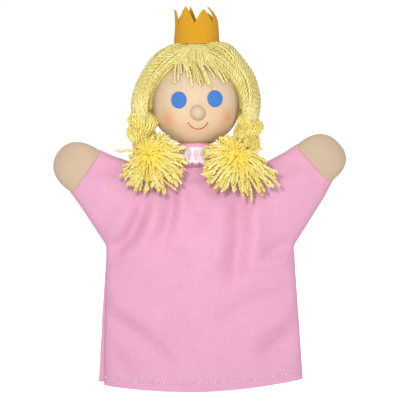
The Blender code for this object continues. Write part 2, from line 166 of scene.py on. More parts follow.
def set_tone(made, tones):
    attribute = made.data.attributes.new("tone", "FLOAT", "POINT")
    attribute.data.foreach_set("value", np.asarray(tones, np.float32))


def modifier(made, name, kind, **settings):
    added = made.modifiers.new(name, kind)
    for key, value in settings.items():
        setattr(added, key, value)
    return added


def full_turn(columns):
    """The angles of a ring of columns points."""
    return np.arange(columns) * 2 * math.pi / columns


def settle(made, body, slot, *nodes):
    """Rides a piece on its body and hides the CAD nodes that it stands in for; its material slot is not
    used.
    """
    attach(made, body)
    if nodes:
        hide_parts(*nodes)


def smooth_step(value):
    value = np.clip(value, 0.0, 1.0)
    return value * value * (3 - 2 * value)


# ---------------------------------------------------------------- yarn

def resample(path, step):
    path = np.asarray(path, float)
    lengths = np.linalg.norm(np.diff(path, axis=0), axis=1)
    along = np.concatenate([[0], np.cumsum(lengths)])
    count = max(4, int(along[-1] / step) + 1)
    wanted = np.linspace(0, along[-1], count)
    return np.stack([np.interp(wanted, along, path[:, k]) for k in range(3)], axis=1), wanted


def frames_along(path):
    """Tangents and two untwisted cross directions at each point of a path."""
    tangent = np.gradient(path, axis=0)
    tangent /= np.linalg.norm(tangent, axis=1)[:, None]
    first = np.cross(tangent[0], [0.31, 0.83, 0.46])
    normals = [first / np.linalg.norm(first)]
    for t in tangent[1:]:
        n = normals[-1] - t * np.dot(normals[-1], t)
        normals.append(n / np.linalg.norm(n))
    normals = np.array(normals)
    return tangent, normals, np.cross(tangent, normals)


def strand(path, radius, draw, sides=8, step=0.9, pitch=YARN_PITCH, flat=0.15, fray=0.0):
    """One twisted two-ply strand swept along path: points, quads and uvs, ends closed."""
    path, along = resample(path, step)
    _, normal, side = frames_along(path)
    count = len(path)
    turn = 2 * math.pi * along / pitch + draw.uniform(0, 2 * math.pi)
    around = full_turn(sides)
    shape = (1 - flat) + flat * np.cos(2 * around)
    swell = radius * (1 + 0.06 * np.sin(along * 1.7 + draw.uniform(0, 6)))
    share = along / along[-1]
    swell = swell * (1 + fray * smooth_step((share - 0.82) / 0.18))
    ends = np.minimum(1.0, 0.55 + np.minimum(along, along[-1] - along) / (0.9 * radius))
    angle = around[None, :] + turn[:, None]
    size = (swell * ends)[:, None] * shape[None, :]
    points = (path[:, None, :] + normal[:, None, :] * (np.cos(angle) * size)[:, :, None]
              + side[:, None, :] * (np.sin(angle) * size)[:, :, None]).reshape(-1, 3)
    uvs = np.stack(np.meshgrid(along / pitch, around / (2 * math.pi), indexing="ij"), -1).reshape(-1, 2)
    r, c = np.meshgrid(np.arange(count - 1), np.arange(sides), indexing="ij")
    d = (c + 1) % sides
    quads = np.stack([r * sides + c, r * sides + d, (r + 1) * sides + d, (r + 1) * sides + c], -1)
    return points, quads.reshape(-1, 4), uvs, sides


def yarn_bundle(name, paths, look, seed, radius=YARN, fray=0.0, cores=(), **shape):
    """Many strands in one mesh, each with its own tone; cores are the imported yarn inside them, as
    (path, radius)."""
    draw = random.Random(seed)
    points, faces, uvs, tones = [], [], [], []
    start = 0
    strands = [(path, radius * draw.uniform(0.92, 1.08), dict(shape, fray=fray)) for path in paths]
    strands += [(path, thick, {"sides": 14, "flat": 0.05}) for path, thick in cores]
    for path, thick, settings in strands:
        p, quads, uv, sides = strand(path, thick, draw, **settings)
        points.append(p)
        uvs.append(uv)
        faces.extend((quads + start).tolist())
        faces.append([start + i for i in range(sides)][::-1])
        faces.append([start + len(p) - sides + i for i in range(sides)])
        tones.append(np.full(len(p), 0.5 + draw.uniform(-TONE_SPREAD, TONE_SPREAD)))
        start += len(p)
    made = new_mesh(name, np.concatenate(points), faces, look)
    set_uv(made, np.concatenate(uvs))
    set_tone(made, np.concatenate(tones))
    return made


def curve_through(points, count=24):
    """A smooth path through a few points (Catmull-Rom)."""
    points = np.asarray(points, float)
    padded = np.vstack([2 * points[0] - points[1], points, 2 * points[-1] - points[-2]])
    result = []
    for i in range(1, len(padded) - 2):
        for t in np.linspace(0, 1, count, endpoint=False):
            a, b, c, d = padded[i - 1], padded[i], padded[i + 1], padded[i + 2]
            result.append(0.5 * (2 * b + (c - a) * t + (2 * a - 5 * b + 4 * c - d) * t ** 2
                                 + (3 * b - a - 3 * c + d) * t ** 3))
    result.append(points[-1])
    return np.array(result)


# ---------------------------------------------------------------- materials

class Nodes:
    """A short hand for building one node material."""

    def __init__(self, name, roughness=0.85):
        self.material = bpy.data.materials.new(name)
        self.material.use_nodes = True
        self.tree = self.material.node_tree
        self.shader = self.tree.nodes["Principled BSDF"]
        self.shader.inputs["Roughness"].default_value = roughness
        self.shader.inputs["Specular IOR Level"].default_value = 0.25

    def add(self, kind, **settings):
        node = self.tree.nodes.new(kind)
        for key, value in settings.items():
            setattr(node, key, value)
        return node

    def link(self, output, target):
        self.tree.links.new(output, target)

    def maths(self, operation, a, b=None):
        node = self.tree.nodes.new("ShaderNodeMath")
        node.operation = operation
        for slot, value in enumerate((a, b)):
            if value is None:
                continue
            if isinstance(value, (int, float)):
                node.inputs[slot].default_value = value
            else:
                self.link(value, node.inputs[slot])
        return node.outputs[0]

    def times(self, a, b):
        return self.maths("MULTIPLY", a, b)

    def plus(self, a, b):
        return self.maths("ADD", a, b)

    def minus(self, a, b):
        return self.maths("SUBTRACT", a, b)

    def place(self, scale=(1, 1, 1)):
        coordinates = self.add("ShaderNodeTexCoord")
        mapping = self.add("ShaderNodeMapping")
        mapping.inputs["Scale"].default_value = scale
        self.link(coordinates.outputs["Object"], mapping.inputs["Vector"])
        return mapping.outputs["Vector"]

    def noise(self, vector, scale, detail=3.0, roughness=0.55):
        node = self.add("ShaderNodeTexNoise")
        node.inputs["Scale"].default_value = scale
        node.inputs["Detail"].default_value = detail
        node.inputs["Roughness"].default_value = roughness
        self.link(vector, node.inputs["Vector"])
        return node.outputs["Fac"]

    def grain(self, scale, detail=3.0, roughness=0.55):
        """Noise stretched by its own scale along each axis."""
        return self.noise(self.place(scale), 1.0, detail, roughness)

    def ramp(self, factor, stops):
        node = self.tree.nodes.new("ShaderNodeValToRGB")
        ramp = node.color_ramp
        while len(ramp.elements) < len(stops):
            ramp.elements.new(0.5)
        for element, (position, colour) in zip(ramp.elements, stops):
            element.position = position
            element.color = (*colour, 1.0)
        self.link(factor, node.inputs["Fac"])
        return node.outputs["Color"]

    def mix(self, factor, a, b):
        node = self.tree.nodes.new("ShaderNodeMix")
        node.data_type = "RGBA"
        for slot, value in ((0, factor), (6, a), (7, b)):
            if isinstance(value, (int, float)):
                node.inputs[slot].default_value = value
            elif isinstance(value, tuple):
                node.inputs[slot].default_value = (*value, 1.0)
            else:
                self.link(value, node.inputs[slot])
        return node.outputs[2]

    def colour(self, output):
        self.link(output, self.shader.inputs["Base Color"])

    def bump(self, height, strength, distance):
        node = self.tree.nodes.new("ShaderNodeBump")
        node.inputs["Strength"].default_value = strength
        node.inputs["Distance"].default_value = distance
        self.link(height, node.inputs["Height"])
        self.link(node.outputs["Normal"], self.shader.inputs["Normal"])

    def roughness(self, factor, low, high):
        node = self.tree.nodes.new("ShaderNodeMapRange")
        node.inputs["To Min"].default_value = low
        node.inputs["To Max"].default_value = high
        self.link(factor, node.inputs["Value"])
        self.link(node.outputs["Result"], self.shader.inputs["Roughness"])

    def sheen(self, weight, roughness=0.5, tint=(1, 1, 1)):
        self.shader.inputs["Sheen Weight"].default_value = weight
        self.shader.inputs["Sheen Roughness"].default_value = roughness
        self.shader.inputs["Sheen Tint"].default_value = (*tint, 1.0)


def unit_wave(n, kind, angle):
    return n.plus(n.times(n.maths(kind, angle), 0.5), 0.5)


def wave(n, value, period_mm):
    """A sine of a coordinate in metres, from 0 to 1, repeating every period_mm."""
    return unit_wave(n, "SINE", n.times(value, 2 * math.pi / (period_mm * MM)))


def split_xyz(n, vector):
    node = n.tree.nodes.new("ShaderNodeSeparateXYZ")
    n.link(vector, node.inputs[0])
    return node.outputs


def cotton(name, colour, shade):
    """Plain weave: two thread directions, slightly uneven, with soft painted crease shade in the colour
    and painted shade in the gaps between the threads.
    """
    n = Nodes(name, 0.86)
    place = n.place()
    x, _, z = split_xyz(n, place)
    slub = n.grain((30, 30, 900), 2.0)
    warp = wave(n, n.plus(x, n.times(slub, 0.0003)), 0.46)
    weft = wave(n, n.plus(z, n.times(slub, 0.0003)), 0.50)
    weave = n.times(warp, weft)
    # Soft clouds of painted crease shade.
    cloud = n.noise(place, 38.0, 4.0)
    body = n.mix(n.times(cloud, 0.5), colour, shade)
    mottle = n.times(n.grain((1300, 1300, 110), 3.0),
                     n.grain((110, 110, 1300), 3.0))
    body = n.mix(n.times(n.minus(mottle, 0.15), 2.4), body, shade)
    thread = n.grain((1500, 1500, 120), 2.0)
    lit = tuple(min(1.0, c * 1.12 + 0.03) for c in colour)
    body = n.mix(n.times(thread, 0.22), body, lit)
    # Painted shade in the gaps between the threads.
    n.colour(n.mix(n.times(n.minus(1.0, weave), 0.10), body, shade))
    n.bump(n.plus(weave, n.times(thread, 0.6)), 0.35, 0.00012)
    n.roughness(thread, 0.78, 0.95)
    n.sheen(0.15, 0.4, colour)
    return n.material


def felt(name, colour, shade, fleck):
    """Pressed fibre: fine matted noise, flecks of lighter and darker hair, and a soft nap."""
    n = Nodes(name, 0.96)
    place = n.place()
    fine = n.noise(place, 2600.0, 6.0, 0.7)
    fibre = n.grain((900, 260, 620), 5.0, 0.75)
    cloud = n.noise(place, 90.0, 3.0)
    body = n.mix(n.times(cloud, 0.45), colour, shade)
    body = n.mix(n.times(n.maths("GREATER_THAN", fibre, 0.62), 0.35), body, fleck)
    n.colour(n.mix(n.times(fine, 0.3), body, shade))
    n.bump(n.plus(fine, n.times(fibre, 1.4)), 0.6, 0.00025)
    n.roughness(fine, 0.88, 1.0)
    n.sheen(0.3, 0.6, colour)
    return n.material


def blush_mask(n, place, centre, radius):
    node = n.add("ShaderNodeVectorMath", operation="DISTANCE")
    n.link(place, node.inputs[0])
    node.inputs[1].default_value = tuple(centre * MM)
    uneven = n.noise(place, 320.0, 3.0)
    distance = n.maths("DIVIDE", node.outputs["Value"], radius * MM)
    soft = n.minus(1.0, n.plus(distance, n.times(uneven, 0.35)))
    return n.maths("POWER", n.maths("MAXIMUM", soft, 0.0), 1.3)


def stockinette(name, colour, shade, chin_shade_reflection, blush, spots):
    """Fine knit whose ribs run up and down the ball, with painted shade in the grooves, a soft blush on
    each cheek, and painted shade and a painted warm hair reflection growing towards the chin.
    """
    n = Nodes(name, 0.9)
    place = n.place()
    x, y, z = split_xyz(n, place)
    across = n.minus(x, HEAD[0] * MM)
    angle = n.maths("ARCTAN2", across, n.times(y, -1.0))
    ribs = 190.0
    wander = n.grain((200, 200, 60), 2.0)
    phase = n.plus(n.times(angle, ribs), n.times(wander, 2.2))
    rib = unit_wave(n, "SINE", phase)
    stitch = wave(n, n.plus(z, n.times(rib, 0.00025)), 0.62)
    knit = n.plus(n.times(rib, 0.75), n.times(stitch, 0.25))
    cloud = n.noise(place, 60.0, 4.0)
    body = n.mix(n.times(cloud, 0.5), colour, shade)
    strand_noise = n.grain((1100, 1100, 70), 2.0)
    # Painted shade in the grooves between the ribs.
    body = n.mix(n.times(n.times(n.minus(1.0, knit), strand_noise), 1.7), body, shade)
    # Painted shade and a painted warm reflection of the hair, growing towards the chin.
    chin_shade_share = n.maths("DIVIDE", n.minus((HEAD[2] + 2.0) * MM, z), 34.0 * MM)
    chin_shade_share = n.maths("MINIMUM", n.maths("MAXIMUM", chin_shade_share, 0.0), 1.0)
    body = n.mix(chin_shade_share, body, chin_shade_reflection)
    for centre in spots:
        body = n.mix(blush_mask(n, place, centre, BLUSH_RADIUS), body, blush)
    n.colour(body)
    n.bump(knit, 0.4, 0.00014)
    n.roughness(knit, 0.82, 0.95)
    n.sheen(0.2, 0.5, colour)
    return n.material


def yarn(name, deep, middle, light, root=None):
    """Two-ply yarn: painted shade between the plies and a painted highlight on their crowns, each strand
    with its own tone; root is a richer colour for the strand's first few millimetres."""
    n = Nodes(name, 0.82)
    uv = n.add("ShaderNodeUVMap")
    u, v = split_xyz(n, uv.outputs["UV"])[:2]
    tone = n.add("ShaderNodeAttribute", attribute_name="tone").outputs["Fac"]
    ply = unit_wave(n, "COSINE", n.times(v, 4 * math.pi))
    fibre = n.grain((500, 500, 500), 4.0, 0.6)
    patch = n.grain((90, 90, 90), 2.0)
    # Painted shade and highlight across the plies, plus each strand's own tone and patches.
    ply_shading_and_tone = n.plus(n.times(ply, 0.50), n.times(fibre, 0.26))
    ply_shading_and_tone = n.plus(ply_shading_and_tone, n.times(n.minus(tone, 0.5), 0.45))
    ply_shading_and_tone = n.plus(ply_shading_and_tone, n.times(n.minus(patch, 0.5), 0.5))
    body = n.ramp(ply_shading_and_tone, [(0.05, deep), (0.42, middle), (0.85, light)])
    if root is not None:
        near_root = n.maths("MAXIMUM", n.minus(1.0, n.maths("DIVIDE", u, 2.3)), 0.0)
        body = n.mix(n.times(near_root, 0.9), body, root)
    n.colour(body)
    n.bump(n.plus(ply, n.times(fibre, 0.4)), 0.3, 0.0002)
    n.roughness(fibre, 0.7, 0.92)
    n.sheen(0.35, 0.4, light)
    return n.material


def laid_yarn(name, deep, middle):
    """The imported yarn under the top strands, seen only through the gaps."""
    n = Nodes(name, 0.92)
    place = n.place()
    fibre = n.noise(place, 900.0, 5.0, 0.7)
    cloud = n.noise(place, 150.0, 3.0)
    n.colour(n.mix(n.times(n.plus(fibre, cloud), 0.5), deep, middle))
    n.bump(fibre, 0.8, 0.0004)
    return n.material


def wood(name, colour, shade):
    """Sanded beech: fine rings and short dark pores, a faint satin."""
    n = Nodes(name, 0.5)
    place = n.place()
    x, _, z = split_xyz(n, place)
    drift = n.noise(place, 160.0, 3.0)
    ring = wave(n, n.plus(n.plus(x, n.times(z, 0.35)),
                           n.times(drift, 0.002)), 1.1)
    pore = n.grain((2600, 2600, 420), 3.0, 0.6)
    body = n.mix(n.times(ring, 0.35), colour, shade)
    n.colour(n.mix(n.times(n.maths("GREATER_THAN", pore, 0.64), 0.4), body, shade))
    n.bump(n.plus(n.times(ring, 0.4), pore), 0.15, 0.0001)
    n.roughness(pore, 0.42, 0.6)
    n.shader.inputs["Specular IOR Level"].default_value = 0.45
    return n.material


def twisted_thread(name, colour, shade):
    """Sewing thread: a fine diagonal twist."""
    n = Nodes(name, 0.6)
    place = n.place()
    x, _, z = split_xyz(n, place)
    twist = wave(n, n.plus(x, n.times(z, 0.8)), 0.5)
    fuzz = n.noise(place, 4200.0, 3.0)
    n.colour(n.mix(n.times(n.plus(twist, fuzz), 0.35), colour, shade))
    n.bump(n.plus(twist, fuzz), 0.5, 0.0001)
    n.sheen(0.2)
    return n.material


def lace(name, white, pink):
    """White net with a repeating pink diamond and dots, laid out in the strip's own uv."""
    n = Nodes(name, 0.85)
    uv = n.add("ShaderNodeUVMap")
    u, v = split_xyz(n, uv.outputs["UV"])[:2]
    column = n.maths("ABSOLUTE", n.minus(n.maths("FRACT", u), 0.5))
    row = n.maths("ABSOLUTE", n.minus(v, 0.52))
    diamond = n.plus(n.times(column, 2.0), n.times(row, 2.6))
    ring = n.maths("LESS_THAN", n.maths("ABSOLUTE", n.minus(diamond, 0.62)), 0.12)
    heart = n.maths("LESS_THAN", diamond, 0.24)
    edge = n.maths("GREATER_THAN", v, n.plus(0.9, n.times(column, 0.14)))
    net = n.grain((1900, 1900, 1900), 2.0)
    pattern = n.maths("MINIMUM", n.plus(n.plus(ring, heart), edge), 1.0)
    strength = n.plus(0.55, n.times(net, 0.5))
    n.colour(n.mix(n.times(pattern, strength), white, pink))
    n.bump(n.plus(net, n.times(pattern, 0.8)), 0.7, 0.0003)
    return n.material


def board(name, colour, shade):
    """Wound cardboard: bands and pressed fibre."""
    n = Nodes(name, 0.93)
    place = n.place()
    z = split_xyz(n, place)[2]
    band = wave(n, z, 6.0)
    fibre = n.grain((400, 400, 1600), 5.0, 0.7)
    n.colour(n.mix(n.plus(n.times(band, 0.2), n.times(fibre, 0.5)), colour, shade))
    n.bump(fibre, 0.4, 0.0002)
    return n.material


LOOKS = {
    "pink_cotton": cotton("pink_cotton_weave", (0.715, 0.365, 0.495), (0.56, 0.262, 0.405)),
    "beige_felt": felt("beige_felt_pile", (0.555, 0.42, 0.30), (0.45, 0.33, 0.22), (0.68, 0.56, 0.43)),
    "blue_felt": felt("blue_felt_pile", (0.055, 0.195, 0.53), (0.035, 0.14, 0.42), (0.13, 0.30, 0.66)),
    "amber_felt": felt("amber_felt_pile", (0.61, 0.315, 0.016), (0.48, 0.22, 0.008),
                       (0.71, 0.42, 0.05)),
    # Each yarn's first and last colours are its darkest and lightest tones, also used for the painted
    # shade between the plies and the painted highlight on their crowns.
    "yellow_yarn": yarn("yellow_two_ply", (0.56, 0.43, 0.10), (0.72, 0.63, 0.235), (0.84, 0.79, 0.41)),
    "tassel_yarn": yarn("yellow_cut_ends", (0.66, 0.49, 0.09), (0.83, 0.70, 0.21), (0.92, 0.85, 0.44),
                        root=(0.90, 0.62, 0.035)),
    "braid_yarn": yarn("yellow_plait", (0.70, 0.52, 0.09), (0.88, 0.76, 0.22), (0.95, 0.88, 0.42)),
    "tassel_bed": laid_yarn("yellow_tassel_bed", (0.72, 0.52, 0.07), (0.86, 0.70, 0.16)),
    "yarn_bed": laid_yarn("yellow_yarn_bed", (0.66, 0.53, 0.12), (0.82, 0.72, 0.24)),
    "beech_wood": wood("beech_sanded", (0.55, 0.43, 0.295), (0.45, 0.335, 0.21)),
    "red_thread": twisted_thread("red_embroidery", (0.66, 0.06, 0.06), (0.42, 0.02, 0.03)),
    "white_thread": twisted_thread("white_sewing", (0.98, 0.93, 0.96), (0.90, 0.80, 0.87)),
    "white_lace": lace("lace_white_pink", (0.78, 0.70, 0.75), (0.72, 0.24, 0.42)),
    "pink_ribbon": cotton("pink_band_weave", (0.84, 0.42, 0.58), (0.74, 0.26, 0.45)),
    "cardboard": board("wound_board", (0.40, 0.29, 0.175), (0.27, 0.19, 0.11)),
    "pressed_cotton": felt("pressed_cotton_fibre", (0.72, 0.69, 0.63), (0.60, 0.57, 0.51),
                           (0.80, 0.78, 0.73)),
}


# ---------------------------------------------------------------- dress and arms

def arm_direction(side):
    """The arm's direction in (x, z): square to the clap joint's axis, which lies across the arm."""
    axis = joint(f"{side}_arm_clap")["axis"]
    sign = SIDES[side]
    return np.array([sign * abs(axis[2]), abs(axis[0])])


def arm_point(side, along, across):
    """The (x, z) place at a length along the arm from its shoulder joint and a height across it."""
    d = arm_direction(side)
    up = np.array([-SIDES[side] * d[1], abs(d[0])])
    start = joint_mm(f"{side}_arm_raise")[[0, 2]]
    return start + d * along + up * across


def hand_half_width(side, along):
    share = min(1.0, max(0.0, (along - SLEEVE_REACH[side]) / HAND_LENGTH[side]))
    power = HAND_ROUNDNESS[side]
    return CUFF_HALF_WIDTH * (1 - share ** power) ** (1 / power)


def hand_shift(side, along):
    """The hand's middle line, in millimetres across the arm."""
    return HAND_SHIFT[side] * smooth_step((along - SLEEVE_REACH[side]) / HAND_LENGTH[side])


def armhole_ends(side):
    """The armpit and the shoulder seam's end, in (x, z)."""
    mirror = np.array([SIDES[side], 1.0])
    return mirror * ARMPIT, mirror * SHOULDER_SEAM


def arm_outline(side):
    armpit, top = armhole_ends(side)
    inner = SLEEVE_REACH[side] - SLEEVE_LENGTH
    points = [armpit, arm_point(side, inner, -SLEEVE_LOWER_HALF_WIDTH)]
    quarter = [math.sin(math.pi / 2 * i / 12) for i in range(13)]
    steps = [SLEEVE_REACH[side] + HAND_LENGTH[side] * share for share in quarter]
    for across, stretch in ((-1, steps), (1, reversed(steps[:-1]))):
        points += [arm_point(side, a, hand_shift(side, a) + across * hand_half_width(side, a))
                   for a in stretch]
    return points + [arm_point(side, inner, SLEEVE_UPPER_HALF_WIDTH), top]


def seam_outline():
    """Every closed seam, run far past the open hem and the open neck."""
    neck = SHOULDER_SEAM[1] - NECK_HOLE_DEPTH
    left_neck = np.array([HEAD[0] - NECK_HOLE_HALF_WIDTH, neck])
    right_neck = np.array([HEAD[0] + NECK_HOLE_HALF_WIDTH, neck])
    chimney = np.array([0.0, 60.0])
    points = [HEM_LEFT - chimney, HEM_LEFT] + arm_outline("left")
    points += [left_neck, left_neck + chimney, right_neck + chimney, right_neck]
    return points + arm_outline("right")[::-1] + [HEM_RIGHT, HEM_RIGHT - chimney]


def seam_distance(points, outline):
    best = np.full(points.shape[:-1], 1e9)
    for a, b in zip(outline, outline[1:]):
        run = b - a
        share = np.clip(((points - a) @ run) / (run @ run), 0, 1)
        gap = points - a - share[..., None] * run
        best = np.minimum(best, np.linalg.norm(gap, axis=-1))
    return best


def torso_edge(side, share):
    """The torso's side edge at a share of its height: the seam up to the armpit, then the armhole."""
    hem = HEM_LEFT if side == "left" else HEM_RIGHT
    armpit, top = armhole_ends(side)
    if share <= ARMPIT_SHARE:
        return hem + (armpit - hem) * share / ARMPIT_SHARE
    return armpit + (top - armpit) * (share - ARMPIT_SHARE) / (1 - ARMPIT_SHARE)


BODY_ROWS = 42
ARMHOLE_ROWS = 26
BODY_COLUMNS = 56
ARMPIT_SHARE = 0.62
TORSO, LEFT_INNER, LEFT_OUTER, RIGHT_INNER, RIGHT_OUTER = REGIONS = range(5)
SMOOTHING_ROUNDS = 3
SEAM_ZONE = 1.6


def torso_grid():
    """The torso panel's points in (x, z), from the hem up, with its top edge cut down for the neck."""
    shares = [ARMPIT_SHARE * i / BODY_ROWS for i in range(BODY_ROWS)]
    above = 1 - ARMPIT_SHARE
    shares += [ARMPIT_SHARE + above * i / ARMHOLE_ROWS for i in range(ARMHOLE_ROWS + 1)]
    across = np.linspace(0, 1, BODY_COLUMNS + 1)
    rows = []
    for share in shares:
        left, right = torso_edge("left", share), torso_edge("right", share)
        row = left + (right - left) * across[:, None]
        row[:, 1] -= HEM_DIP * 4 * across * (1 - across) * (1 - share) ** 3
        reach = np.abs(row[:, 0] - HEAD[0]) / NECK_HOLE_HALF_WIDTH
        row[:, 1] -= NECK_HOLE_DEPTH * smooth_step(2 - reach) * share ** 8
        rows.append(row)
    return np.array(rows)


def arm_grids(side):
    """The shoulder from armhole to halfway, and from there over the sleeve to the cuff."""
    shares = np.linspace(0, 1, ARMHOLE_ROWS + 1)
    armpit, top = armhole_ends(side)
    armhole = np.array([armpit + (top - armpit) * s for s in shares])
    low, high = -SLEEVE_LOWER_HALF_WIDTH, SLEEVE_UPPER_HALF_WIDTH
    reach = SLEEVE_REACH[side]
    fold = np.array([arm_point(side, reach - SLEEVE_LENGTH, low + (high - low) * s) for s in shares])
    cuff = np.array([arm_point(side, reach, CUFF_HALF_WIDTH * (2 * s - 1)) for s in shares])
    middle = (armhole + fold) / 2
    inner = [armhole + (middle - armhole) * t for t in np.linspace(0, 1, 6)]
    outer = [middle + (fold - middle) * t for t in np.linspace(0, 1, 6)]
    outer += [fold + (cuff - fold) * t for t in np.linspace(0, 1, 6)[1:]]
    return np.array(inner), np.array(outer)


def ridge(points, path, width):
    """1 along a bent line, falling off softly to the sides and at its ends."""
    path = np.array(path, float)
    lengths = np.linalg.norm(np.diff(path, axis=0), axis=1)
    whole = lengths.sum()
    nearest = np.full(points.shape[:-1], 1e9)
    fade = np.zeros(points.shape[:-1])
    passed = 0.0
    for start, end, length in zip(path, path[1:], lengths):
        run = (end - start) / length
        along = np.clip((points - start) @ run, 0, length)
        gap = np.linalg.norm(points - start - along[..., None] * run, axis=-1)
        share = (passed + along) / whole
        here = smooth_step(share / 0.25) * smooth_step((1 - share) / 0.25)
        fade = np.where(gap < nearest, here, fade)
        nearest = np.minimum(nearest, gap)
        passed += length
    return np.exp(-(nearest / width) ** 2) * fade


# Soft folds of the cloth as seen from the front: a bent line (x, z), its half-width and its height.
FOLDS = (
    (((-72, 94), (-51, 113), (-43, 128), (-38, 146)), 4.4, -2.0),
    (((-66, 88), (-44, 104), (-34, 124), (-30, 142)), 6.0, 1.3),
    (((-76, 110), (-58, 123), (-49, 140)), 6.0, 1.2),
    (((-21, 154), (-20, 136), (-26, 108)), 3.8, -1.7),
    (((-12, 152), (-13, 134), (-16, 116)), 4.5, 0.9),
    (((-32, 150), (-33, 132), (-38, 112)), 5.0, 0.9),
    (((-9, 152), (-2, 136), (6, 122)), 3.4, -0.9),
    (((-33, 116), (-22, 99), (8, 101)), 4.6, -0.8),
    (((29, 150), (28, 112), (23, 72)), 5.6, -2.2),
    (((15, 150), (13, 112), (9, 80)), 7.0, 1.1),
    (((42, 150), (41, 112), (36, 78)), 6.0, 1.1),
    (((74, 112), (58, 106), (43, 97)), 3.4, -1.5),
    (((74, 101), (57, 95), (42, 88)), 4.2, 0.9),
    (((74, 73), (46, 69), (30, 62), (10, 44)), 6.5, -1.0),
    (((78, 50), (60, 37), (40, 22)), 7.5, -1.6),
    (((72, 62), (50, 49), (32, 34)), 7.0, 0.9),
    (((-76, 60), (-51, 47), (-36, 36), (-16, 16)), 5.0, -1.4),
    (((-74, 70), (-48, 58), (-26, 46)), 7.0, 0.8),
    (((-74, 40), (-58, 24), (-48, 8)), 4.4, -0.9),
    (((-90, 158), (-70, 161), (-52, 163)), 4.8, -1.1),
    (((56, 166), (72, 165), (90, 162)), 4.8, -1.1),
    (((-14, 158), (-2, 157), (8, 156)), 4.0, -1.2),
    (((3, 149), (10, 146), (18, 147)), 3.6, -0.9),
    (((-4, 132), (-3, 80), (-8, 30)), 9.0, 0.6),
)


def cloth_folds(points, distance):
    """How far the cloth stands out or in, in millimetres: soft folds, and puckers along the seams."""
    total = np.zeros(points.shape[:-1])
    for path, width, height in FOLDS:
        total += FOLD_GAIN * height * ridge(points, path, width)
    pucker = 0.28 * np.sin(points[..., 1] * 0.72 + points[..., 0] * 0.18) * np.exp(-distance / 5.0)
    return total * smooth_step(distance / 12.0) + pucker * smooth_step(distance / 1.5)


def build_garment(outline):
    """Front and back of the whole dress as one welded cloth; each region keeps its material index."""
    grids = [(TORSO, torso_grid())]
    for side, inner, outer in (("left", LEFT_INNER, LEFT_OUTER), ("right", RIGHT_INNER, RIGHT_OUTER)):
        a, b = arm_grids(side)
        grids += [(inner, a), (outer, b)]
    points, faces, regions = [], [], []
    start = 0
    for sign in (-1.0, 1.0):
        for region, grid in grids:
            distance = seam_distance(grid, outline)
            depth = PUFF * np.sqrt(distance) + WALL_MIDDLE * smooth_step(distance / 2.0)
            depth = depth + cloth_folds(grid * np.array([-sign, 1.0]), distance)
            block = np.stack([grid[..., 0], sign * np.maximum(depth, 0.0), grid[..., 1]], -1)
            points.append(block.reshape(-1, 3))
            made = grid_faces(grid.shape[0], grid.shape[1], start)
            faces += made
            regions += [region] * len(made)
            start += block.shape[0] * block.shape[1]
    garment = new_mesh("garment", np.concatenate(points), faces)
    for _ in REGIONS:
        garment.data.materials.append(None)
    garment.data.polygons.foreach_set("material_index", np.array(regions, np.int32))
    work = bmesh.new()
    work.from_mesh(garment.data)
    bmesh.ops.remove_doubles(work, verts=work.verts, dist=0.00003)
    bmesh.ops.recalc_face_normals(work, faces=work.faces)
    for _ in range(SMOOTHING_ROUNDS):
        inside = [v for v in work.verts if not v.is_boundary and abs(v.co.y) > SEAM_ZONE * MM]
        bmesh.ops.smooth_vert(work, verts=inside, factor=0.5, use_axis_y=True)
    work.to_mesh(garment.data)
    work.free()
    return garment


def finished_cloth(garment):
    """The subdivided cloth as arrays: points, normals, quads and regions."""
    modifier(garment, "round", "SUBSURF", levels=1, render_levels=1,
             boundary_smooth="PRESERVE_CORNERS")
    graph = bpy.context.evaluated_depsgraph_get()
    mesh = bpy.data.meshes.new_from_object(garment.evaluated_get(graph))
    points = np.empty(len(mesh.vertices) * 3)
    normals = np.empty(len(mesh.vertices) * 3)
    mesh.vertices.foreach_get("co", points)
    mesh.vertices.foreach_get("normal", normals)
    faces = np.array([list(p.vertices) for p in mesh.polygons])
    regions = np.empty(len(mesh.polygons), np.int32)
    mesh.polygons.foreach_get("material_index", regions)
    bpy.data.meshes.remove(mesh)
    bpy.data.objects.remove(garment)
    return points.reshape(-1, 3) / MM, normals.reshape(-1, 3), faces, regions


def cloth_piece(name, cloth, wanted, look):
    """Cuts one region out of the cloth and closes it with an inner layer and a rim, keeping the
    normals of the whole cloth so that no line shows where two regions meet."""
    points, normals, faces, regions = cloth
    own = faces[np.isin(regions, wanted)]
    used = np.unique(own)
    lookup = -np.ones(len(points), int)
    lookup[used] = np.arange(len(used))
    outer, inner = points[used], points[used] - normals[used] * COTTON
    count = len(used)
    local = lookup[own]
    uses = {}
    for face in local:
        for a, b in zip(face, np.roll(face, -1)):
            key = (min(a, b), max(a, b))
            uses[key] = None if key in uses else (a, b)
    rims = [(b, a, a + count, b + count) for a, b in (e for e in uses.values() if e is not None)]
    every_point = np.concatenate([outer, inner])
    made = [tuple(f) for f in local] + [tuple(f[::-1] + count) for f in local] + rims
    piece = new_mesh(name, every_point, made, look)
    smooth = np.concatenate([normals[used], -normals[used]])
    rim_array = np.array(rims)
    across = np.cross(every_point[rim_array[:, 1]] - every_point[rim_array[:, 0]],
                      every_point[rim_array[:, 3]] - every_point[rim_array[:, 0]])
    across /= np.maximum(np.linalg.norm(across, axis=1), 1e-9)[:, None]
    corner = np.concatenate([smooth[local.ravel()], smooth[(local[:, ::-1] + count).ravel()],
                             np.repeat(across, 4, axis=0)])
    piece.data.normals_split_custom_set(corner.tolist())
    return piece


def panel_area(grid):
    """Flat area of one pattern grid, in square metres."""
    a = grid[1:, :-1] - grid[:-1, :-1]
    b = grid[:-1, 1:] - grid[:-1, :-1]
    return float(np.abs(a[..., 0] * b[..., 1] - a[..., 1] * b[..., 0]).sum()) * MM * MM


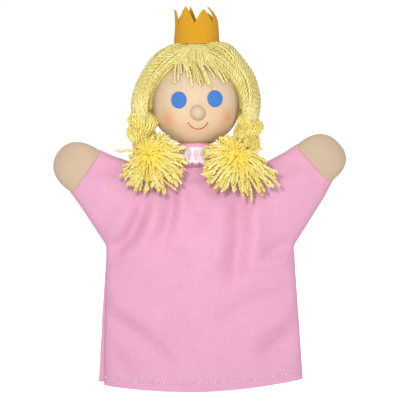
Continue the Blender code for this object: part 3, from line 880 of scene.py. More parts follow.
def make_dress():
    outline = seam_outline()
    cloth = finished_cloth(build_garment(outline))
    body = cloth_piece("dress_body", cloth, [TORSO], LOOKS["pink_cotton"])
    settle(body, "dress", "pink_cotton", "dress_front", "dress_back")
    2 * panel_area(torso_grid()) * 1.08
    for side, inner, outer in (("left", LEFT_INNER, LEFT_OUTER), ("right", RIGHT_INNER, RIGHT_OUTER)):
        make_sleeve(side, cloth, inner, outer)


def make_sleeve(side, cloth, inner, outer):
    sign = SIDES[side]
    inner_grid, outer_grid = arm_grids(side)
    armhole = inner_grid[0]
    run = armhole[-1] - armhole[0]
    out = np.array([-run[1], run[0]]) / np.linalg.norm(run)
    out = out if out[0] * sign > 0 else -out
    shoulder = cloth_piece(f"{side}_shoulder_cloth", cloth, [inner], LOOKS["pink_cotton"])
    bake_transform(shoulder)
    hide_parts(f"{side}_shoulder_front", f"{side}_shoulder_back")
    base = arm_point(side, 0, 0)
    sleeve = cloth_piece(f"{side}_sleeve_cloth", cloth, [outer], LOOKS["pink_cotton"])
    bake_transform(sleeve)
    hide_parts(f"{side}_sleeve_front", f"{side}_sleeve_back")
    make_hand(side)


def make_hand(side):
    """A felt mitt sewn from two halves, its base tucked a little way into the sleeve."""
    tuck, clearance, half_thickness = 3.0, 0.35, 8.6
    reach, length = SLEEVE_REACH[side], HAND_LENGTH[side]
    rows, columns = 22, 25
    shares = np.linspace(-1, 1, columns)
    steps = np.concatenate([[reach - tuck, reach - 1.0],
                            reach + length * np.sin(np.linspace(0, math.pi / 2, rows))])
    points, faces = [], []
    for sign in (-1.0, 1.0):
        for along in steps:
            width = hand_half_width(side, along) if along >= reach else CUFF_HALF_WIDTH
            width = max(width - clearance, 0.4)
            bend = math.sin(math.pi / 2 * min(1.0, (reach + length - along) / length * 1.6))
            thick = half_thickness * max(bend, 0.0) ** 0.5 * (width / CUFF_HALF_WIDTH) ** 0.35
            for s in shares:
                p = arm_point(side, along, s * width + hand_shift(side, along))
                profile = (1 - abs(s) ** 2.4) ** 0.5
                points.append((p[0], sign * (thick * profile), p[1]))
    count = len(steps) * columns
    for k in (0, 1):
        faces += grid_faces(len(steps), columns, k * count)
    hand = new_mesh(f"{side}_mitt", points, faces, LOOKS["beige_felt"])
    work = bmesh.new()
    work.from_mesh(hand.data)
    bmesh.ops.remove_doubles(work, verts=work.verts, dist=0.00005)
    bmesh.ops.recalc_face_normals(work, faces=work.faces)
    work.to_mesh(hand.data)
    work.free()
    modifier(hand, "felt_wall", "SOLIDIFY", thickness=0.0011, offset=-1.0)
    modifier(hand, "round", "SUBSURF", levels=1, render_levels=1)
    settle(hand, f"{side}_arm", "beige_felt", f"{side}_hand_front", f"{side}_hand_back")


def make_hem_stitches(label, sign, outline):
    """White running stitch round the hem: short thread bars sunk a little into the cloth."""
    draw = random.Random(7 if sign < 0 else 8)
    pitch, bar = 2.85, 1.5
    width = np.linalg.norm(HEM_RIGHT - HEM_LEFT)
    paths = []
    for i in range(int(width / pitch) - 1):
        ends = []
        for offset in (0.0, bar / 2, bar):
            across = (1.5 + i * pitch + offset + draw.uniform(-0.15, 0.15)) / width
            point = HEM_LEFT + (HEM_RIGHT - HEM_LEFT) * across
            point = point + np.array([0.0, HEM_STITCH_HEIGHT - HEM_DIP * 4 * across * (1 - across)])
            distance = seam_distance(point[None], outline)
            depth = PUFF * math.sqrt(distance[0]) + WALL_MIDDLE * smooth_step(distance[0] / 2.0)
            depth += cloth_folds(point[None] * np.array([-sign, 1.0]), distance)[0]
            lift = 0.36 if offset == bar / 2 else 0.12
            ends.append((point[0], sign * (depth + lift), point[1]))
        paths.append(ends)
    made = yarn_bundle(f"{label}_hem_thread", paths, LOOKS["white_thread"], 11, radius=0.44, step=0.4,
                       pitch=1.2, sides=6)
    settle(made, "dress", "white_thread", f"{label}_hem_stitch")


# ---------------------------------------------------------------- neck and collar

def make_seam_roll():
    """The seam allowance that rolls out past the left side seam, widest at the hem."""
    path = curve_through([(-71.4, 1.1, 7.4), (-70.9, 1.1, 30.0), (-70.0, 0.9, 60.0),
                          (-68.3, 0.4, 94.0)], 16)
    columns = 20
    turns = full_turn(columns)
    rows = []
    for share, centre in zip(np.linspace(0, 1, len(path)), path):
        wide = (2.5 - 2.0 * share) * (1 + 0.05 * math.sin(share * 23))
        rows.append(centre + np.stack([wide * np.cos(turns), 0.6 * wide * np.sin(turns),
                                       0 * turns], -1))
    faces = grid_faces(len(rows), columns, wrap=True)
    faces += [tuple(range(columns)), tuple((len(rows) - 1) * columns + c for c in range(columns))]
    made = new_mesh("side_seam_roll", np.concatenate(rows), faces, LOOKS["pink_cotton"])
    face_outwards(made)
    settle(made, "dress", "pink_cotton")


def ring_points(radius_x, radius_y, z, turns):
    return np.stack([HEAD[0] + radius_x * np.cos(turns), radius_y * np.sin(turns),
                     np.broadcast_to(z, turns.shape)], -1)


def make_neck():
    """The dress's gathered top, from its opening up round the tube."""
    columns = 144
    turns = full_turn(columns)
    low, high = box_mm("neck_gathers")
    pleat = np.abs(np.sin(turns * 11)) - 0.5
    profile = ((0.0, 21.0, 10.6, 0.15), (0.12, 18.0, 12.2, 0.5), (0.3, 14.6, 12.6, 0.7),
               (0.5, 12.9, 12.4, 0.6), (0.75, 12.3, 12.2, 0.4), (1.0, 12.2, 12.1, 0.2))
    rows = []
    for share, rx, ry, depth in profile:
        z = low[2] - 0.8 + (high[2] - low[2] - 0.7) * share
        rows.append(ring_points(rx + pleat * depth, ry + pleat * depth, z, turns))
    parting = 4
    lower, upper = rows[:parting], rows[parting - 1:]
    pivot_z = min(joint_mm("head_nod")[2], 172.0)
    spans = (("neck_cloth", lower, "dress", "neck", low[2] + 0.2, pivot_z - 3.5, 0.0008, 0.012),
             ("neck_cloth_top", upper, "neck", "collar", pivot_z - 2.9, pivot_z + 0.5, 0.0005, 0.010))
    for name, part, first, second, start, end, area, tall in spans:
        made = new_mesh(name, np.concatenate(part), grid_faces(len(part), columns, wrap=True),
                        LOOKS["pink_cotton"])
        face_outwards(made)
        modifier(made, "wall", "SOLIDIFY", thickness=0.0004, offset=-1.0)
        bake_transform(made)
        if first == "dress":
            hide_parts("neck_gathers")


def make_collar():
    """The gathered strip of lace round the neck, its lower edge scalloped."""
    columns = 240
    turns = full_turn(columns)
    low, high = box_mm("lace_collar")
    top, foot = high[2] + 0.2, low[2] - 3.0
    scallops, steps = 20, 15
    rows, uvs = [], []
    for v in np.linspace(0, 1, steps):
        scallop = 1.5 * np.abs(np.cos(turns * scallops / 2)) ** 0.7
        z = top + (foot + 1.5 - scallop - top) * v
        ruffle = 0.45 * v * np.sin(turns * scallops + 0.6)
        radius = 13.9 + 3.3 * v ** 1.5 + ruffle
        rows.append(ring_points(radius, radius, z, turns))
        uvs.append(np.stack([turns / (2 * math.pi) * scallops + 0.5, np.full(columns, v)], -1))
    made = new_mesh("lace_frill", np.concatenate(rows), grid_faces(steps, columns, wrap=True),
                    LOOKS["white_lace"])
    set_uv(made, np.concatenate(uvs))
    face_outwards(made)
    modifier(made, "wall", "SOLIDIFY", thickness=0.0005, offset=-1.0)
    settle(made, "collar", "white_lace", "lace_collar")
    make_band()


def make_band():
    """The pink band above the lace, with a small scalloped lower edge."""
    columns = 240
    turns = full_turn(columns)
    low, high = box_mm("collar_band")
    rows = []
    for v, radius in ((0, 13.0), (0.15, 14.0), (0.5, 14.4), (0.85, 14.5), (1.0, 14.45)):
        z = high[2] + 0.4 + (low[2] + 1.0 - high[2]) * v - 0.4 * v * np.abs(np.cos(turns * 21))
        rows.append(ring_points(radius, radius, z, turns))
    made = new_mesh("collar_ribbon", np.concatenate(rows), grid_faces(len(rows), columns, wrap=True),
                    LOOKS["pink_ribbon"])
    face_outwards(made)
    modifier(made, "wall", "SOLIDIFY", thickness=0.0006, offset=-1.0)
    settle(made, "collar", "pink_ribbon", "collar_band")


# ---------------------------------------------------------------- head and face

CHEEK_FULLNESS = 1.6
NECK_RADIUS = 12.35
BLUSH_PLACES = ((-23.2, 198.0), (19.8, 199.4))
EYE_RADIUS = 6.0
NOSE_RADIUS = 5.3
NOSE_FLATNESS = 0.86


def fullness(up):
    """How far the padded cover bulges past the plain ball, all round the cheeks and the chin."""
    rise = math.degrees(math.asin(max(-1.0, min(1.0, up))))
    return CHEEK_FULLNESS * float(smooth_step((-rise - 12) / 22))


def on_face(x, z, height):
    """The point that stands height above the cover at the place (x, z), and its direction."""
    across, up = x - HEAD[0], z - HEAD[2]
    reach = HEAD_RADIUS + height
    for _ in range(6):
        reach = HEAD_RADIUS + height + fullness(up / reach)
    place = np.array([across, -math.sqrt(max(0.0, reach ** 2 - across ** 2 - up ** 2)), up])
    return HEAD + place, place / np.linalg.norm(place)


def make_ball():
    columns = 128
    turns = full_turn(columns)
    inner_radius = 11.4
    profile = []
    for rise in np.radians(np.linspace(89.0, -74.0, 88)):
        radius = HEAD_RADIUS + fullness(math.sin(rise))
        profile.append((radius * math.cos(rise), HEAD[2] + radius * math.sin(rise)))
    profile += [(NECK_RADIUS - 2.6 * (1 - v), profile[-1][1] - 0.3 - 0.9 * v) for v in (0.5, 1.0)]
    profile += [(NECK_RADIUS, z) for z in np.linspace(profile[-1][1] - 0.5, NECK_BOTTOM, 3)]
    profile += [(inner_radius, NECK_BOTTOM), (inner_radius, profile[-1][1] + 4.0)]
    rows = [ring_points(r, r, z, turns) for r, z in profile]
    points = np.concatenate(rows + [np.array([[HEAD[0], 0, HEAD[2] + HEAD_RADIUS]])])
    faces = grid_faces(len(rows), columns, wrap=True)
    crown = len(points) - 1
    faces += [(c, crown, (c + 1) % columns) for c in range(columns)]
    spots = [on_face(x, z, 0.0)[0] for x, z in BLUSH_PLACES]
    # The fourth colour is the painted shade and warm hair reflection of the lower face.
    look = stockinette("ribbed_stockinette", (0.72, 0.575, 0.415), (0.54, 0.38, 0.25),
                       (0.66, 0.475, 0.28), (0.68, 0.25, 0.12), spots)
    made = new_mesh("face_ball", points, faces, look)
    face_outwards(made)
    settle(made, "head", "stockinette", "head_cover")


def face_axes(node):
    """The middle of a CAD node on the face, the way out of the face there, and two ways across it."""
    low, high = box_mm(node)
    middle = (low + high) / 2
    _, out = on_face(middle[0], middle[2], 0)
    right = np.cross([0, 0, 1], out)
    right /= np.linalg.norm(right)
    return middle, out, right, np.cross(out, right)


def closed_rings(name, points, rings, columns, look):
    """One middle point with rings round it, closed at the last ring."""
    faces = [(0, 1 + c, 1 + (c + 1) % columns) for c in range(columns)]
    faces += grid_faces(rings, columns, 1, wrap=True)
    last = 1 + (rings - 1) * columns
    faces.append([last + c for c in range(columns)])
    made = new_mesh(name, points, faces, look)
    face_outwards(made)
    return made


def make_eye(side):
    """A felt disc that follows the ball, its cut edge a little uneven."""
    _, out, right, up = face_axes(f"{side}_eye")
    columns = 64
    turns = full_turn(columns)
    draw = random.Random(31 if side == "left" else 32)
    wobble = 1 + 0.006 * np.sin(turns * 3 + draw.uniform(0, 6)) + 0.005 * np.sin(turns * 7)
    profile = [(0.25, 0.92), (0.55, 0.92), (0.8, 0.88), (0.92, 0.8), (0.975, 0.62), (1.0, 0.4),
               (0.995, 0.12), (0.97, -0.25)]
    points = [HEAD + out * (HEAD_RADIUS + 0.92)]
    for share, height in profile:
        disc = np.outer(np.cos(turns) * wobble, right) + np.outer(np.sin(turns) * wobble, up)
        flat = HEAD + out * HEAD_RADIUS + disc * EYE_RADIUS * share
        way = flat - HEAD
        way /= np.linalg.norm(way, axis=1)[:, None]
        points.extend(HEAD + way * (HEAD_RADIUS + height))
    made = closed_rings(f"{side}_eye_felt", points, len(profile), columns, LOOKS["blue_felt"])
    settle(made, "head", "blue_felt", f"{side}_eye")


def make_nose():
    """A turned wooden bead, flattened where it is sewn to the face."""
    middle, out, right, up = face_axes("nose")
    columns = 56
    turns = full_turn(columns)
    centre = np.array([middle[0], 0.0, middle[2]]) + out * [0.0, HEAD_RADIUS + 1.6, 0.0]
    points = [centre + out * NOSE_RADIUS * NOSE_FLATNESS]
    angles = np.radians(np.linspace(84, -24, 22))
    for a in angles:
        r, h = NOSE_RADIUS * math.cos(a), NOSE_RADIUS * NOSE_FLATNESS * math.sin(a)
        points.extend(centre + out * h + np.outer(np.cos(turns), right) * r
                      + np.outer(np.sin(turns), up) * r)
    made = closed_rings("nose_bead", points, len(angles), columns, LOOKS["beech_wood"])
    settle(made, "head", "beech_wood", "nose")


def make_mouth():
    """One embroidered thread in a shallow smile, its ends pulled into the knit."""
    low, high = box_mm("mouth")
    middle, foot = (low[0] + high[0]) / 2, low[2] + 0.5
    radius, half_turn = (high[0] - low[0]) / 2 + 0.1, math.radians(70)
    path = []
    for s in np.linspace(-1, 1, 41):
        lift = 0.3 - 0.9 * smooth_step((abs(s) - 0.93) / 0.07)
        path.append(on_face(middle + radius * math.sin(s * half_turn),
                            foot + radius * (1 - math.cos(s * half_turn)), float(lift))[0])
    made = yarn_bundle("mouth_thread", [path], LOOKS["red_thread"], 5, radius=0.36, step=0.25,
                       pitch=1.4, sides=10)
    settle(made, "head", "red_thread", "mouth")


# ---------------------------------------------------------------- hair

def direction(azimuth, elevation):
    turn, rise = np.radians(azimuth), np.radians(elevation)
    return np.stack([np.sin(turn) * np.cos(rise), -np.cos(turn) * np.cos(rise),
                     np.sin(rise) + 0.0 * turn], -1)


def hair_radius(way):
    """The hair's outer surface: an ellipsoid, fuller beside the crown and flatter low on the left."""
    plain = 1 / np.linalg.norm(way / HAIR_SIZE, axis=-1)
    rise = np.degrees(np.arcsin(np.clip(way[..., 2], -1, 1)))
    right = np.clip(0.5 + way[..., 0], 0, 1)
    full = (0.9 + 3.0 * right) * np.exp(-((rise - 58) / 17) ** 2)
    flat = (2.2 - 2.0 * right) * np.exp(-((rise - 24) / 17) ** 2) * np.abs(way[..., 0])
    return plain + full - flat


def hair_edge(elevation):
    """Where the hair starts, in degrees round from the face, at an elevation on the head."""
    return 5 + 78 * smooth_step((88 - elevation) / 125) ** 0.75


HAIR_STRANDS = (54, 48)


def hair_paths(side, seed):
    """Strands from the middle parting, over the head and down to the braid's root."""
    draw = random.Random(seed)
    sign = SIDES[side]
    root = joint_mm(f"{side}_braid_swing") + np.array([-sign * 1.6, -1.2, -1.0])
    end_way = (root - HEAD) / np.linalg.norm(root - HEAD)
    paths = []
    for layer, strands in enumerate(HAIR_STRANDS):
        for i in range(strands):
            share = (i + 0.5 * layer + draw.uniform(-0.3, 0.3)) / strands
            share = min(max(share, 0.0), 1.0)
            over = 63 + 137 * share
            start = np.array([sign * 0.01, -math.cos(math.radians(over)), math.sin(math.radians(over))])
            pull = np.array([sign * 0.70, -0.66 + 1.05 * share, 0.60 - 0.33 * share])
            bundle = math.pi * (0.12 + 1.5 * share)
            wide, deep = (5.6, 6.4) if layer == 0 else (3.6, 4.2)
            end = root + np.array([-sign * math.cos(bundle) * wide, -math.sin(bundle) * deep, 0.0])
            t = np.linspace(0, 1, 44)[:, None]
            way = (1 - t) ** 2 * start + 2 * t * (1 - t) * pull + t ** 2 * end_way
            way /= np.linalg.norm(way, axis=1)[:, None]
            lock = min(1.0, 0.50 + 4.0 * share)
            thick = (hair_radius(way) - HEAD_RADIUS) * lock
            height = HEAD_RADIUS + np.maximum(thick - YARN * (1.0 + 1.7 * layer), YARN * 0.8)
            height = height + 0.45 * np.sin(t[:, 0] * 8 + draw.uniform(0, 6)) * (1 - layer)
            body = HEAD + way * height[:, None]
            gather = smooth_step((t[:, 0] - 0.60) / 0.40)[:, None]
            side_way = np.cross(way, np.array([0.0, 0.0, 1.0]))
            body = body + side_way * (0.5 * np.sin(t * 6 + draw.uniform(0, 6)) * t * (1 - t) * 4)
            target = end + (body - (HEAD + end_way * height[-1])) * 0.5
            tail = root + (end - root) * 0.45 + np.array([0.0, 0.4, -7.0])
            swept = body * (1 - gather) + target * gather
            paths.append(curve_through([*swept, end + [0, 0, -2.0], tail], 1))
    return paths


def make_hair(side):
    path_seed, yarn_seed = (101, 41) if side == "left" else (202, 42)
    made = yarn_bundle(f"{side}_hair_yarn", hair_paths(side, path_seed), LOOKS["yellow_yarn"],
                       yarn_seed, step=1.1, sides=7)
    settle(made, "head", "yellow_yarn", f"{side}_hair")
    settle(hair_bed(side), "head", "yellow_yarn")


def hair_bed(side):
    """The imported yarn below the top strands."""
    sign = SIDES[side]
    rows, columns = 30, 34
    points = []
    for height in (1, 0):
        for r in range(rows):
            for c in range(columns):
                share = c / (columns - 1)
                foot = -13 - 15 * smooth_step(share * 1.6 - 0.4)
                elevation = 86 + (foot - 86) * r / (rows - 1)
                front = hair_edge(elevation) + 4
                way = direction(sign * (front + (179.5 - front) * share), elevation)
                lock = min(1.0, 0.40 + 3.0 * share)
                thick = max(0.5, float(hair_radius(way) - HEAD_RADIUS) * lock - 1.9)
                points.append(HEAD + way * (HEAD_RADIUS + 0.15 + thick * height))
    faces = grid_faces(rows, columns) + grid_faces(rows, columns, rows * columns)
    rim = list(range(columns)) + [r * columns + columns - 1 for r in range(1, rows)]
    rim += [(rows - 1) * columns + c for c in range(columns - 2, -1, -1)]
    rim += [r * columns for r in range(rows - 2, 0, -1)]
    shift = rows * columns
    faces += [(a, b, b + shift, a + shift) for a, b in zip(rim, rim[1:] + rim[:1])]
    made = new_mesh(f"{side}_hair_bed", points, faces, LOOKS["yarn_bed"])
    face_outwards(made)
    return made


# Where the fringe's yarn ends lie on the forehead (x, z).
FRINGE_ENDS = (
    (-17.8, 222.6), (-15.6, 224.6), (-13.2, 229.8), (-10.4, 231.5), (-8.2, 226.6), (-5.6, 220.4),
    (-3.4, 224.8), (-1.2, 222.0), (0.4, 220.2), (2.4, 221.6), (4.6, 223.2), (6.6, 221.0),
    (8.2, 219.8), (10.6, 226.8), (12.6, 228.8), (15.0, 226.2), (17.2, 222.8), (19.4, 224.2),
    (21.0, 226.8),
)


def make_fringe():
    """Loose yarn ends that fan from the parting down over the forehead."""
    draw = random.Random(77)
    paths = []
    count = len(FRINGE_ENDS)
    for i, (x, z) in enumerate(FRINGE_ENDS):
        fan = 2 * i / (count - 1) - 1
        low = draw.uniform(0.0, 0.8)
        steps = [HEAD + direction(4.0 * fan, 75.0) * (HEAD_RADIUS + 8.4 + low),
                 HEAD + direction(17.0 * fan, 63.0) * (HEAD_RADIUS + 6.6 + low),
                 HEAD + direction(31.0 * fan - 2.0, 48.0) * (HEAD_RADIUS + 2.9 + low)]
        tip = on_face(x, z, 1.1 + 0.4 * low)[0]
        middle = steps[-1] * 0.45 + tip * 0.55
        way = (middle - HEAD) / np.linalg.norm(middle - HEAD)
        middle = HEAD + way * (HEAD_RADIUS + 1.9 + 0.6 * low)
        middle[0] += draw.uniform(-0.8, 0.8)
        paths.append(curve_through(steps + [middle, tip], 10))
    for i in range(26):
        fan = (2 * i / 25 - 1) * 1.12 + draw.uniform(-0.03, 0.03)
        reach = draw.uniform(38.0, 46.0) + 6.0 * abs(fan)
        steps = [HEAD + direction(4.0 * fan, 77.0) * (HEAD_RADIUS + 10.2),
                 HEAD + direction(18.0 * fan, 65.0) * (HEAD_RADIUS + 9.2),
                 HEAD + direction(34.0 * fan - 2.0, 54.0) * (HEAD_RADIUS + 5.6),
                 HEAD + direction(42.0 * fan - 2.0, reach) * (HEAD_RADIUS + 2.4)]
        paths.append(curve_through(steps, 10))
    made = yarn_bundle("fringe_yarn", paths, LOOKS["yellow_yarn"], 43, radius=0.95, fray=0.12,
                       step=0.8)
    settle(made, "head", "yellow_yarn", "fringe")


# ---------------------------------------------------------------- braids and tassels

def ring_offsets(count, radius):
    """Places of the yarns round one bundle's cross-section."""
    angles = [2 * math.pi * k / count for k in range(count)]
    return [(radius * math.cos(a), radius * math.sin(a)) for a in angles]


def plait_paths(start, end, widths, phase, turns):
    """Three bundles of yarn plaited from start to end; widths are the half-widths at both ends."""
    axis = (end - start) / np.linalg.norm(end - start)
    right = np.cross(axis, [0, 1, 0])
    right /= np.linalg.norm(right)
    front = np.cross(right, axis)
    t = np.linspace(0, 1, 60)
    width = widths[0] + (widths[1] - widths[0]) * t
    tight = (1 - 0.42 * smooth_step((t - 0.82) / 0.18)) * (1 - 0.5 * smooth_step((0.26 - t) / 0.26))
    centre = start + np.outer(t, end - start)
    bundle = 0.47 * width
    paths, cores = [], []
    for k in range(3):
        angle = 2 * math.pi * (turns * t + k / 3) + phase
        swing = (width - bundle) * np.sin(angle)
        depth = 0.34 * width * np.sin(2 * angle)
        cores.append(centre + np.outer(swing * tight, right) + np.outer(depth * tight, front))
        for a, b in ring_offsets(14, 0.92):
            roll = 0.9 * t + k
            ra = (a * np.cos(roll) - b * np.sin(roll)) * bundle
            rb = (a * np.sin(roll) + b * np.cos(roll)) * bundle * 0.8
            paths.append(centre + np.outer((swing + ra) * tight, right)
                         + np.outer((depth + rb) * tight, front))
    return paths, cores


def cut_paths(paths, level, keep_above):
    """The stretch of each path above or below a height."""
    kept = []
    for path in paths:
        mask = path[:, 2] > level if keep_above else path[:, 2] <= level
        if mask.sum() >= 4:
            kept.append(path[mask])
    return kept


BRAID_WIDTH = {"left": (13.4, 9.8), "right": (11.6, 8.4)}
BRAID_PHASE = {"left": 0.5, "right": 2.6}


def make_braid(side):
    """A plait of three bundles, cut at its bend into two pieces that stand in for the braid's upper and
    lower CAD nodes.
    """
    root, knee, tie = (joint_mm(f"{side}_{name}")
                       for name in ("braid_swing", "braid_bend", "tassel_turn"))
    start = root + np.array([-SIDES[side] * 1.6, -1.5, 1.2])
    end = tie + np.array([0, -0.5, -1.5])
    paths, cores = plait_paths(start, end, BRAID_WIDTH[side], BRAID_PHASE[side], 0.66)
    core_radius = 0.29 * sum(BRAID_WIDTH[side]) / 2
    overlap = 0.6
    for label, level, above, node, seed in (("top", knee[2] - overlap, True, "upper", 51),
                                            ("end", knee[2] + overlap, False, "lower", 52)):
        packed = [(core, core_radius) for core in cut_paths(cores, level, above)]
        piece = yarn_bundle(f"{side}_braid_{label}", cut_paths(paths, level, above),
                            LOOKS["braid_yarn"], seed, cores=packed)
        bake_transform(piece)
        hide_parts(f"{side}_braid_{node}")
    make_tie(side, tie)
    make_tassel(side)


def make_tie(side, tie):
    """Two turns of yarn that bind the braid's end."""
    turns = np.linspace(0, 2 * math.pi * 2.2, 60)
    low, high = box_mm(f"{side}_braid_tie")
    z = high[2] - 0.8 - (high[2] - low[2] - 1.2) * turns / turns[-1]
    path = np.stack([tie[0] + 0.4 * (tie[2] - z) * -SIDES[side] * 0.3 + 4.2 * np.cos(turns),
                     tie[1] - 0.5 + 3.9 * np.sin(turns), z], -1)
    made = yarn_bundle(f"{side}_tie_yarn", [path], LOOKS["yellow_yarn"], 61, radius=0.9)
    settle(made, f"{side}_braid_lower", "yellow_yarn", f"{side}_braid_tie")


# Length of the tassel's strands by direction: degrees from the right, anticlockwise, and millimetres.
TASSEL_REACH = {
    "left": ((0, 26), (30, 24), (60, 20), (90, 14), (120, 13), (150, 10), (180, 15), (210, 21),
             (240, 24), (270, 25), (300, 26), (330, 27), (360, 26)),
    "right": ((0, 25), (30, 12), (60, 10), (90, 15), (120, 18), (150, 24), (180, 25), (210, 25),
              (240, 24), (270, 25), (300, 28), (330, 35), (360, 25)),
}
TASSEL_HEART = {"left": (-36.0, 171.6), "right": (25.8, 171.0)}
# The layers of a tassel from the back: number of strands, and their share of the full length.
TASSEL_LAYERS = ((58, 1.0), (56, 0.95), (46, 0.84), (32, 0.62), (24, 0.36))


def tassel_core(side, x, z, y):
    """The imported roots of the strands, a low mound that closes the gaps between them."""
    angles, reaches = zip(*TASSEL_REACH[side])
    columns = 48
    turns = full_turn(columns)
    reach = np.interp(np.degrees(turns), angles, reaches) * 0.70
    rows = []
    for share, depth in ((0.02, -3.2), (0.3, -3.0), (0.6, -2.2), (0.85, -1.0), (1.0, 0.0), (0.8, 1.2),
                         (0.4, 1.8), (0.02, 2.0)):
        rows.append(np.stack([x + np.cos(turns) * reach * share, np.full(columns, y + depth),
                              z + np.sin(turns) * reach * share - share ** 2], -1))
    faces = grid_faces(len(rows), columns, wrap=True)
    faces += [tuple(range(columns)), tuple((len(rows) - 1) * columns + c for c in range(columns))]
    made = new_mesh(f"{side}_tassel_core", np.concatenate(rows), faces, LOOKS["tassel_bed"])
    face_outwards(made)
    return made


def make_tassel(side):
    """The fanned yarn ends: layers of strands that leave one knot, rise a little and droop."""
    draw = random.Random(301 if side == "left" else 302)
    heart_x, heart_z = TASSEL_HEART[side]
    back = box_mm(f"{side}_tassel")[1][1]
    angles, reaches = zip(*TASSEL_REACH[side])
    paths = []
    for layer, (count, share) in enumerate(TASSEL_LAYERS):
        for i in range(count):
            angle = 360 * (i + draw.uniform(-0.45, 0.45)) / count
            angle += 5.0 * layer + 3.5 * math.sin(i * 1.7)
            angle += 4.5 * math.sin(math.radians(angle * 9 + 80 * layer))
            reach = float(np.interp(angle % 360, angles, reaches)) * share * draw.uniform(0.80, 1.05)
            a = math.radians(angle)
            way = np.array([math.cos(a), 0.0, math.sin(a)])
            side_way = np.array([-math.sin(a), 0.0, math.cos(a)])
            t = np.linspace(0, 1, 26)
            bend = draw.uniform(-4.2, 4.2) + 2.0 * math.sin(i * 0.9 + layer)
            curl = draw.uniform(-1.8, 1.8)
            droop = 3.6 * math.cos(a) ** 2 + 1.2
            start = np.array([heart_x, 0, heart_z]) + way * draw.uniform(0.3, 3.0)
            start = start + side_way * draw.uniform(-1.0, 1.0)
            aside = bend * t ** 2 + curl * np.sin(3 * t)
            path = start + np.outer(t * reach, way) + np.outer(aside, side_way)
            y_start = back - 3.6 - 1.7 * layer
            y_end = back - 1.0 - 1.7 * layer - draw.uniform(0, 1.0)
            rise = (1.6 + 0.3 * layer) * np.sin(math.pi * t ** 0.7)
            path[:, 1] = y_start + (y_end - y_start) * t ** 1.6 - rise
            path[:, 2] -= droop * t ** 2.2
            path[:, 0] += 0.35 * np.sin(t * 9 + draw.uniform(0, 6)) * t
            path[:, 2] += 0.35 * np.sin(t * 8 + draw.uniform(0, 6)) * t
            paths.append(path)
    if side == "left":
        y = back - 4.0
        stray_yarn = [(-43.0, y, 173.0), (-51.0, y, 175.8), (-55.5, y, 174.9), (-60.2, y, 175.4)]
        paths.append(curve_through(stray_yarn, 12))
    made = yarn_bundle(f"{side}_tassel_yarn", paths, LOOKS["tassel_yarn"], 71, radius=1.12, fray=0.14)
    core = tassel_core(side, heart_x, heart_z, back - 5.2)
    settle(core, f"{side}_tassel", "yellow_yarn")
    settle(made, f"{side}_tassel", "yellow_yarn", f"{side}_tassel")


# ---------------------------------------------------------------- crown

# The crown's points: azimuth in degrees from the face, tip height, and how far the tip leans outwards.
CROWN_POINTS = (
    (-84, 278.8, 0.9), (-31, 279.6, 0.2), (19, 277.6, 0.3), (77, 280.9, -6.5), (147, 278.6, 0.3),
    (199, 283.4, -0.4), (222, 278.6, 0.2),
)
CROWN_VALLEY = 267.6
CROWN_RISE = 13.0


def make_crown():
    """A strip of stiff felt cut into points and closed into a ring, its tips slightly curled."""
    low, high = box_mm("crown")
    per_point, rows, felt_wall = 18, 14, 1.5
    centre_x = (low[0] + high[0]) / 2
    half_width = (high[0] - low[0]) / 2
    base_radius, top_radius = half_width + 0.2, half_width - 0.7
    base = low[2] - 0.8
    turns, tops, leans = [], [], []
    for k, (azimuth, tip, lean) in enumerate(CROWN_POINTS):
        following = CROWN_POINTS[(k + 1) % len(CROWN_POINTS)]
        span = (following[0] - azimuth) % 360
        for c in range(per_point):
            share = c / per_point
            nearest_tip, nearest_lean = (tip, lean) if share < 0.5 else following[1:]
            to_tip = abs(2 * share - 1)
            turns.append(math.radians(azimuth + span * share))
            rise = 0.6 * to_tip + 0.4 * math.sin(to_tip * math.pi / 2)
            tops.append(CROWN_VALLEY + (nearest_tip - CROWN_VALLEY) * rise)
            leans.append(nearest_lean)
    columns = len(turns)
    layers = []
    for inset in (0.0, felt_wall):
        for r in range(rows):
            v = r / (rows - 1)
            for turn, top, lean in zip(turns, tops, leans):
                z = base + (top - base) * v
                rise = min(1.0, (z - base) / (CROWN_VALLEY - base))
                above = max(0.0, (z - CROWN_VALLEY) / CROWN_RISE)
                radius = base_radius + (top_radius - base_radius) * rise - inset + lean * above ** 2
                layers.append((centre_x + radius * math.sin(turn), -radius * math.cos(turn), z))
    shift = rows * columns
    faces = grid_faces(rows, columns, wrap=True)
    faces += [tuple(reversed(f)) for f in grid_faces(rows, columns, shift, wrap=True)]
    for c in range(columns):
        d = (c + 1) % columns
        top = (rows - 1) * columns
        faces.append((c, d, d + shift, c + shift))
        faces.append((top + c, top + d, top + d + shift, top + c + shift))
    made = new_mesh("felt_crown", layers, faces, LOOKS["amber_felt"])
    face_outwards(made)
    sharp = math.radians(50)
    made.data.set_sharp_from_angle(angle=sharp)
    modifier(made, "edge", "BEVEL", width=0.00025, segments=2, limit_method="ANGLE", angle_limit=sharp)
    settle(made, "head", "amber_felt", "crown")


# ---------------------------------------------------------------- kept CAD nodes, stage, light, camera

def dress_cad_nodes():
    for node, look in (("head_core", "pressed_cotton"), ("neck_tube", "cardboard"),
                       ("neck_binding", "white_thread"), ("hair_parting", "yarn_bed")):
        for slot in frame["nodes"][node].material_slots:
            slot.material = LOOKS[look]


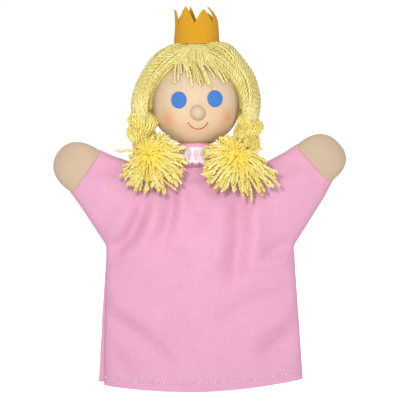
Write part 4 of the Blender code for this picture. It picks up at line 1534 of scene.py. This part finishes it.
def make_stage():
    """A pale floor that glows a little, a soft white surround and a plain white backdrop."""
    n = Nodes("pale_floor", 0.95)
    place = n.place()
    n.colour(n.mix(n.times(n.noise(place, 3.0), 0.1), (0.995, 0.995, 0.995), (0.985, 0.985, 0.985)))
    n.shader.inputs["Emission Color"].default_value = (1.0, 1.0, 1.0, 1.0)
    to_camera = n.add("ShaderNodeLightPath").outputs["Is Camera Ray"]
    n.link(n.times(to_camera, FLOOR_GLOW), n.shader.inputs["Emission Strength"])
    half = 3000.0
    floor = new_mesh("floor", [(-half, -half, 0), (half, -half, 0), (half, half, 0), (-half, half, 0)],
                     [(0, 1, 2, 3)], n.material)
    floor.location.z = -FLOOR_DEPTH
    studio = bpy.data.worlds.new("studio")
    studio.use_nodes = True
    nodes, links = studio.node_tree.nodes, studio.node_tree.links
    surround = nodes["Background"]
    surround.inputs["Color"].default_value = (1.0, 1.0, 1.0, 1.0)
    surround.inputs["Strength"].default_value = SURROUND
    backdrop = nodes.new("ShaderNodeBackground")
    backdrop.inputs["Color"].default_value = (1.0, 1.0, 1.0, 1.0)
    backdrop.inputs["Strength"].default_value = BACKDROP
    seen = nodes.new("ShaderNodeLightPath")
    either = nodes.new("ShaderNodeMixShader")
    links.new(seen.outputs["Is Camera Ray"], either.inputs[0])
    links.new(surround.outputs[0], either.inputs[1])
    links.new(backdrop.outputs[0], either.inputs[2])
    links.new(either.outputs[0], nodes["World Output"].inputs["Surface"])
    bpy.context.scene.world = studio
    bpy.context.scene.view_settings.view_transform = "Standard"


def add_light(name, place, size, power):
    """A square lamp, in metres and watts, aimed at the middle of the puppet."""
    light = bpy.data.lights.new(name, "AREA")
    light.size = size
    light.energy = power
    made = bpy.data.objects.new(name, light)
    made.location = place
    made.rotation_mode = "QUATERNION"
    aim = Vector((0, 0, 0.15))
    made.rotation_quaternion = (aim - Vector(place)).to_track_quat("-Z", "Y")
    bpy.context.collection.objects.link(made)


def make_camera():
    """Square on to the puppet, level, with a long lens: the frame is 292 mm wide at the seams."""
    lens, sensor, frame_width, middle_height = 120.0, 36.0, 0.2924, 0.1401
    distance = frame_width * lens / sensor
    camera = bpy.data.cameras.new("camera")
    camera.lens = lens
    camera.sensor_width = sensor
    made = bpy.data.objects.new("camera", camera)
    made.location = (0.0, -distance, middle_height)
    made.rotation_euler = (math.pi / 2, 0, 0)
    bpy.context.collection.objects.link(made)
    bpy.context.scene.camera = made


make_camera()
make_stage()
add_light("key", (-0.08, -0.40, 0.26), 0.05, 0.83)
add_light("low_front", (0.12, -0.40, 0.19), 0.20, 0.30)
add_light("fill", (0.8, -0.8, 0.35), 0.9, 0.65)
make_dress()
for label, sign in (("front", -1.0), ("back", 1.0)):
    make_hem_stitches(label, sign, seam_outline())
make_seam_roll()
make_neck()
make_collar()
make_ball()
for side in SIDES:
    make_eye(side)
make_nose()
make_mouth()
for side in SIDES:
    make_hair(side)
make_fringe()
for side in SIDES:
    make_braid(side)
make_crown()
dress_cad_nodes()
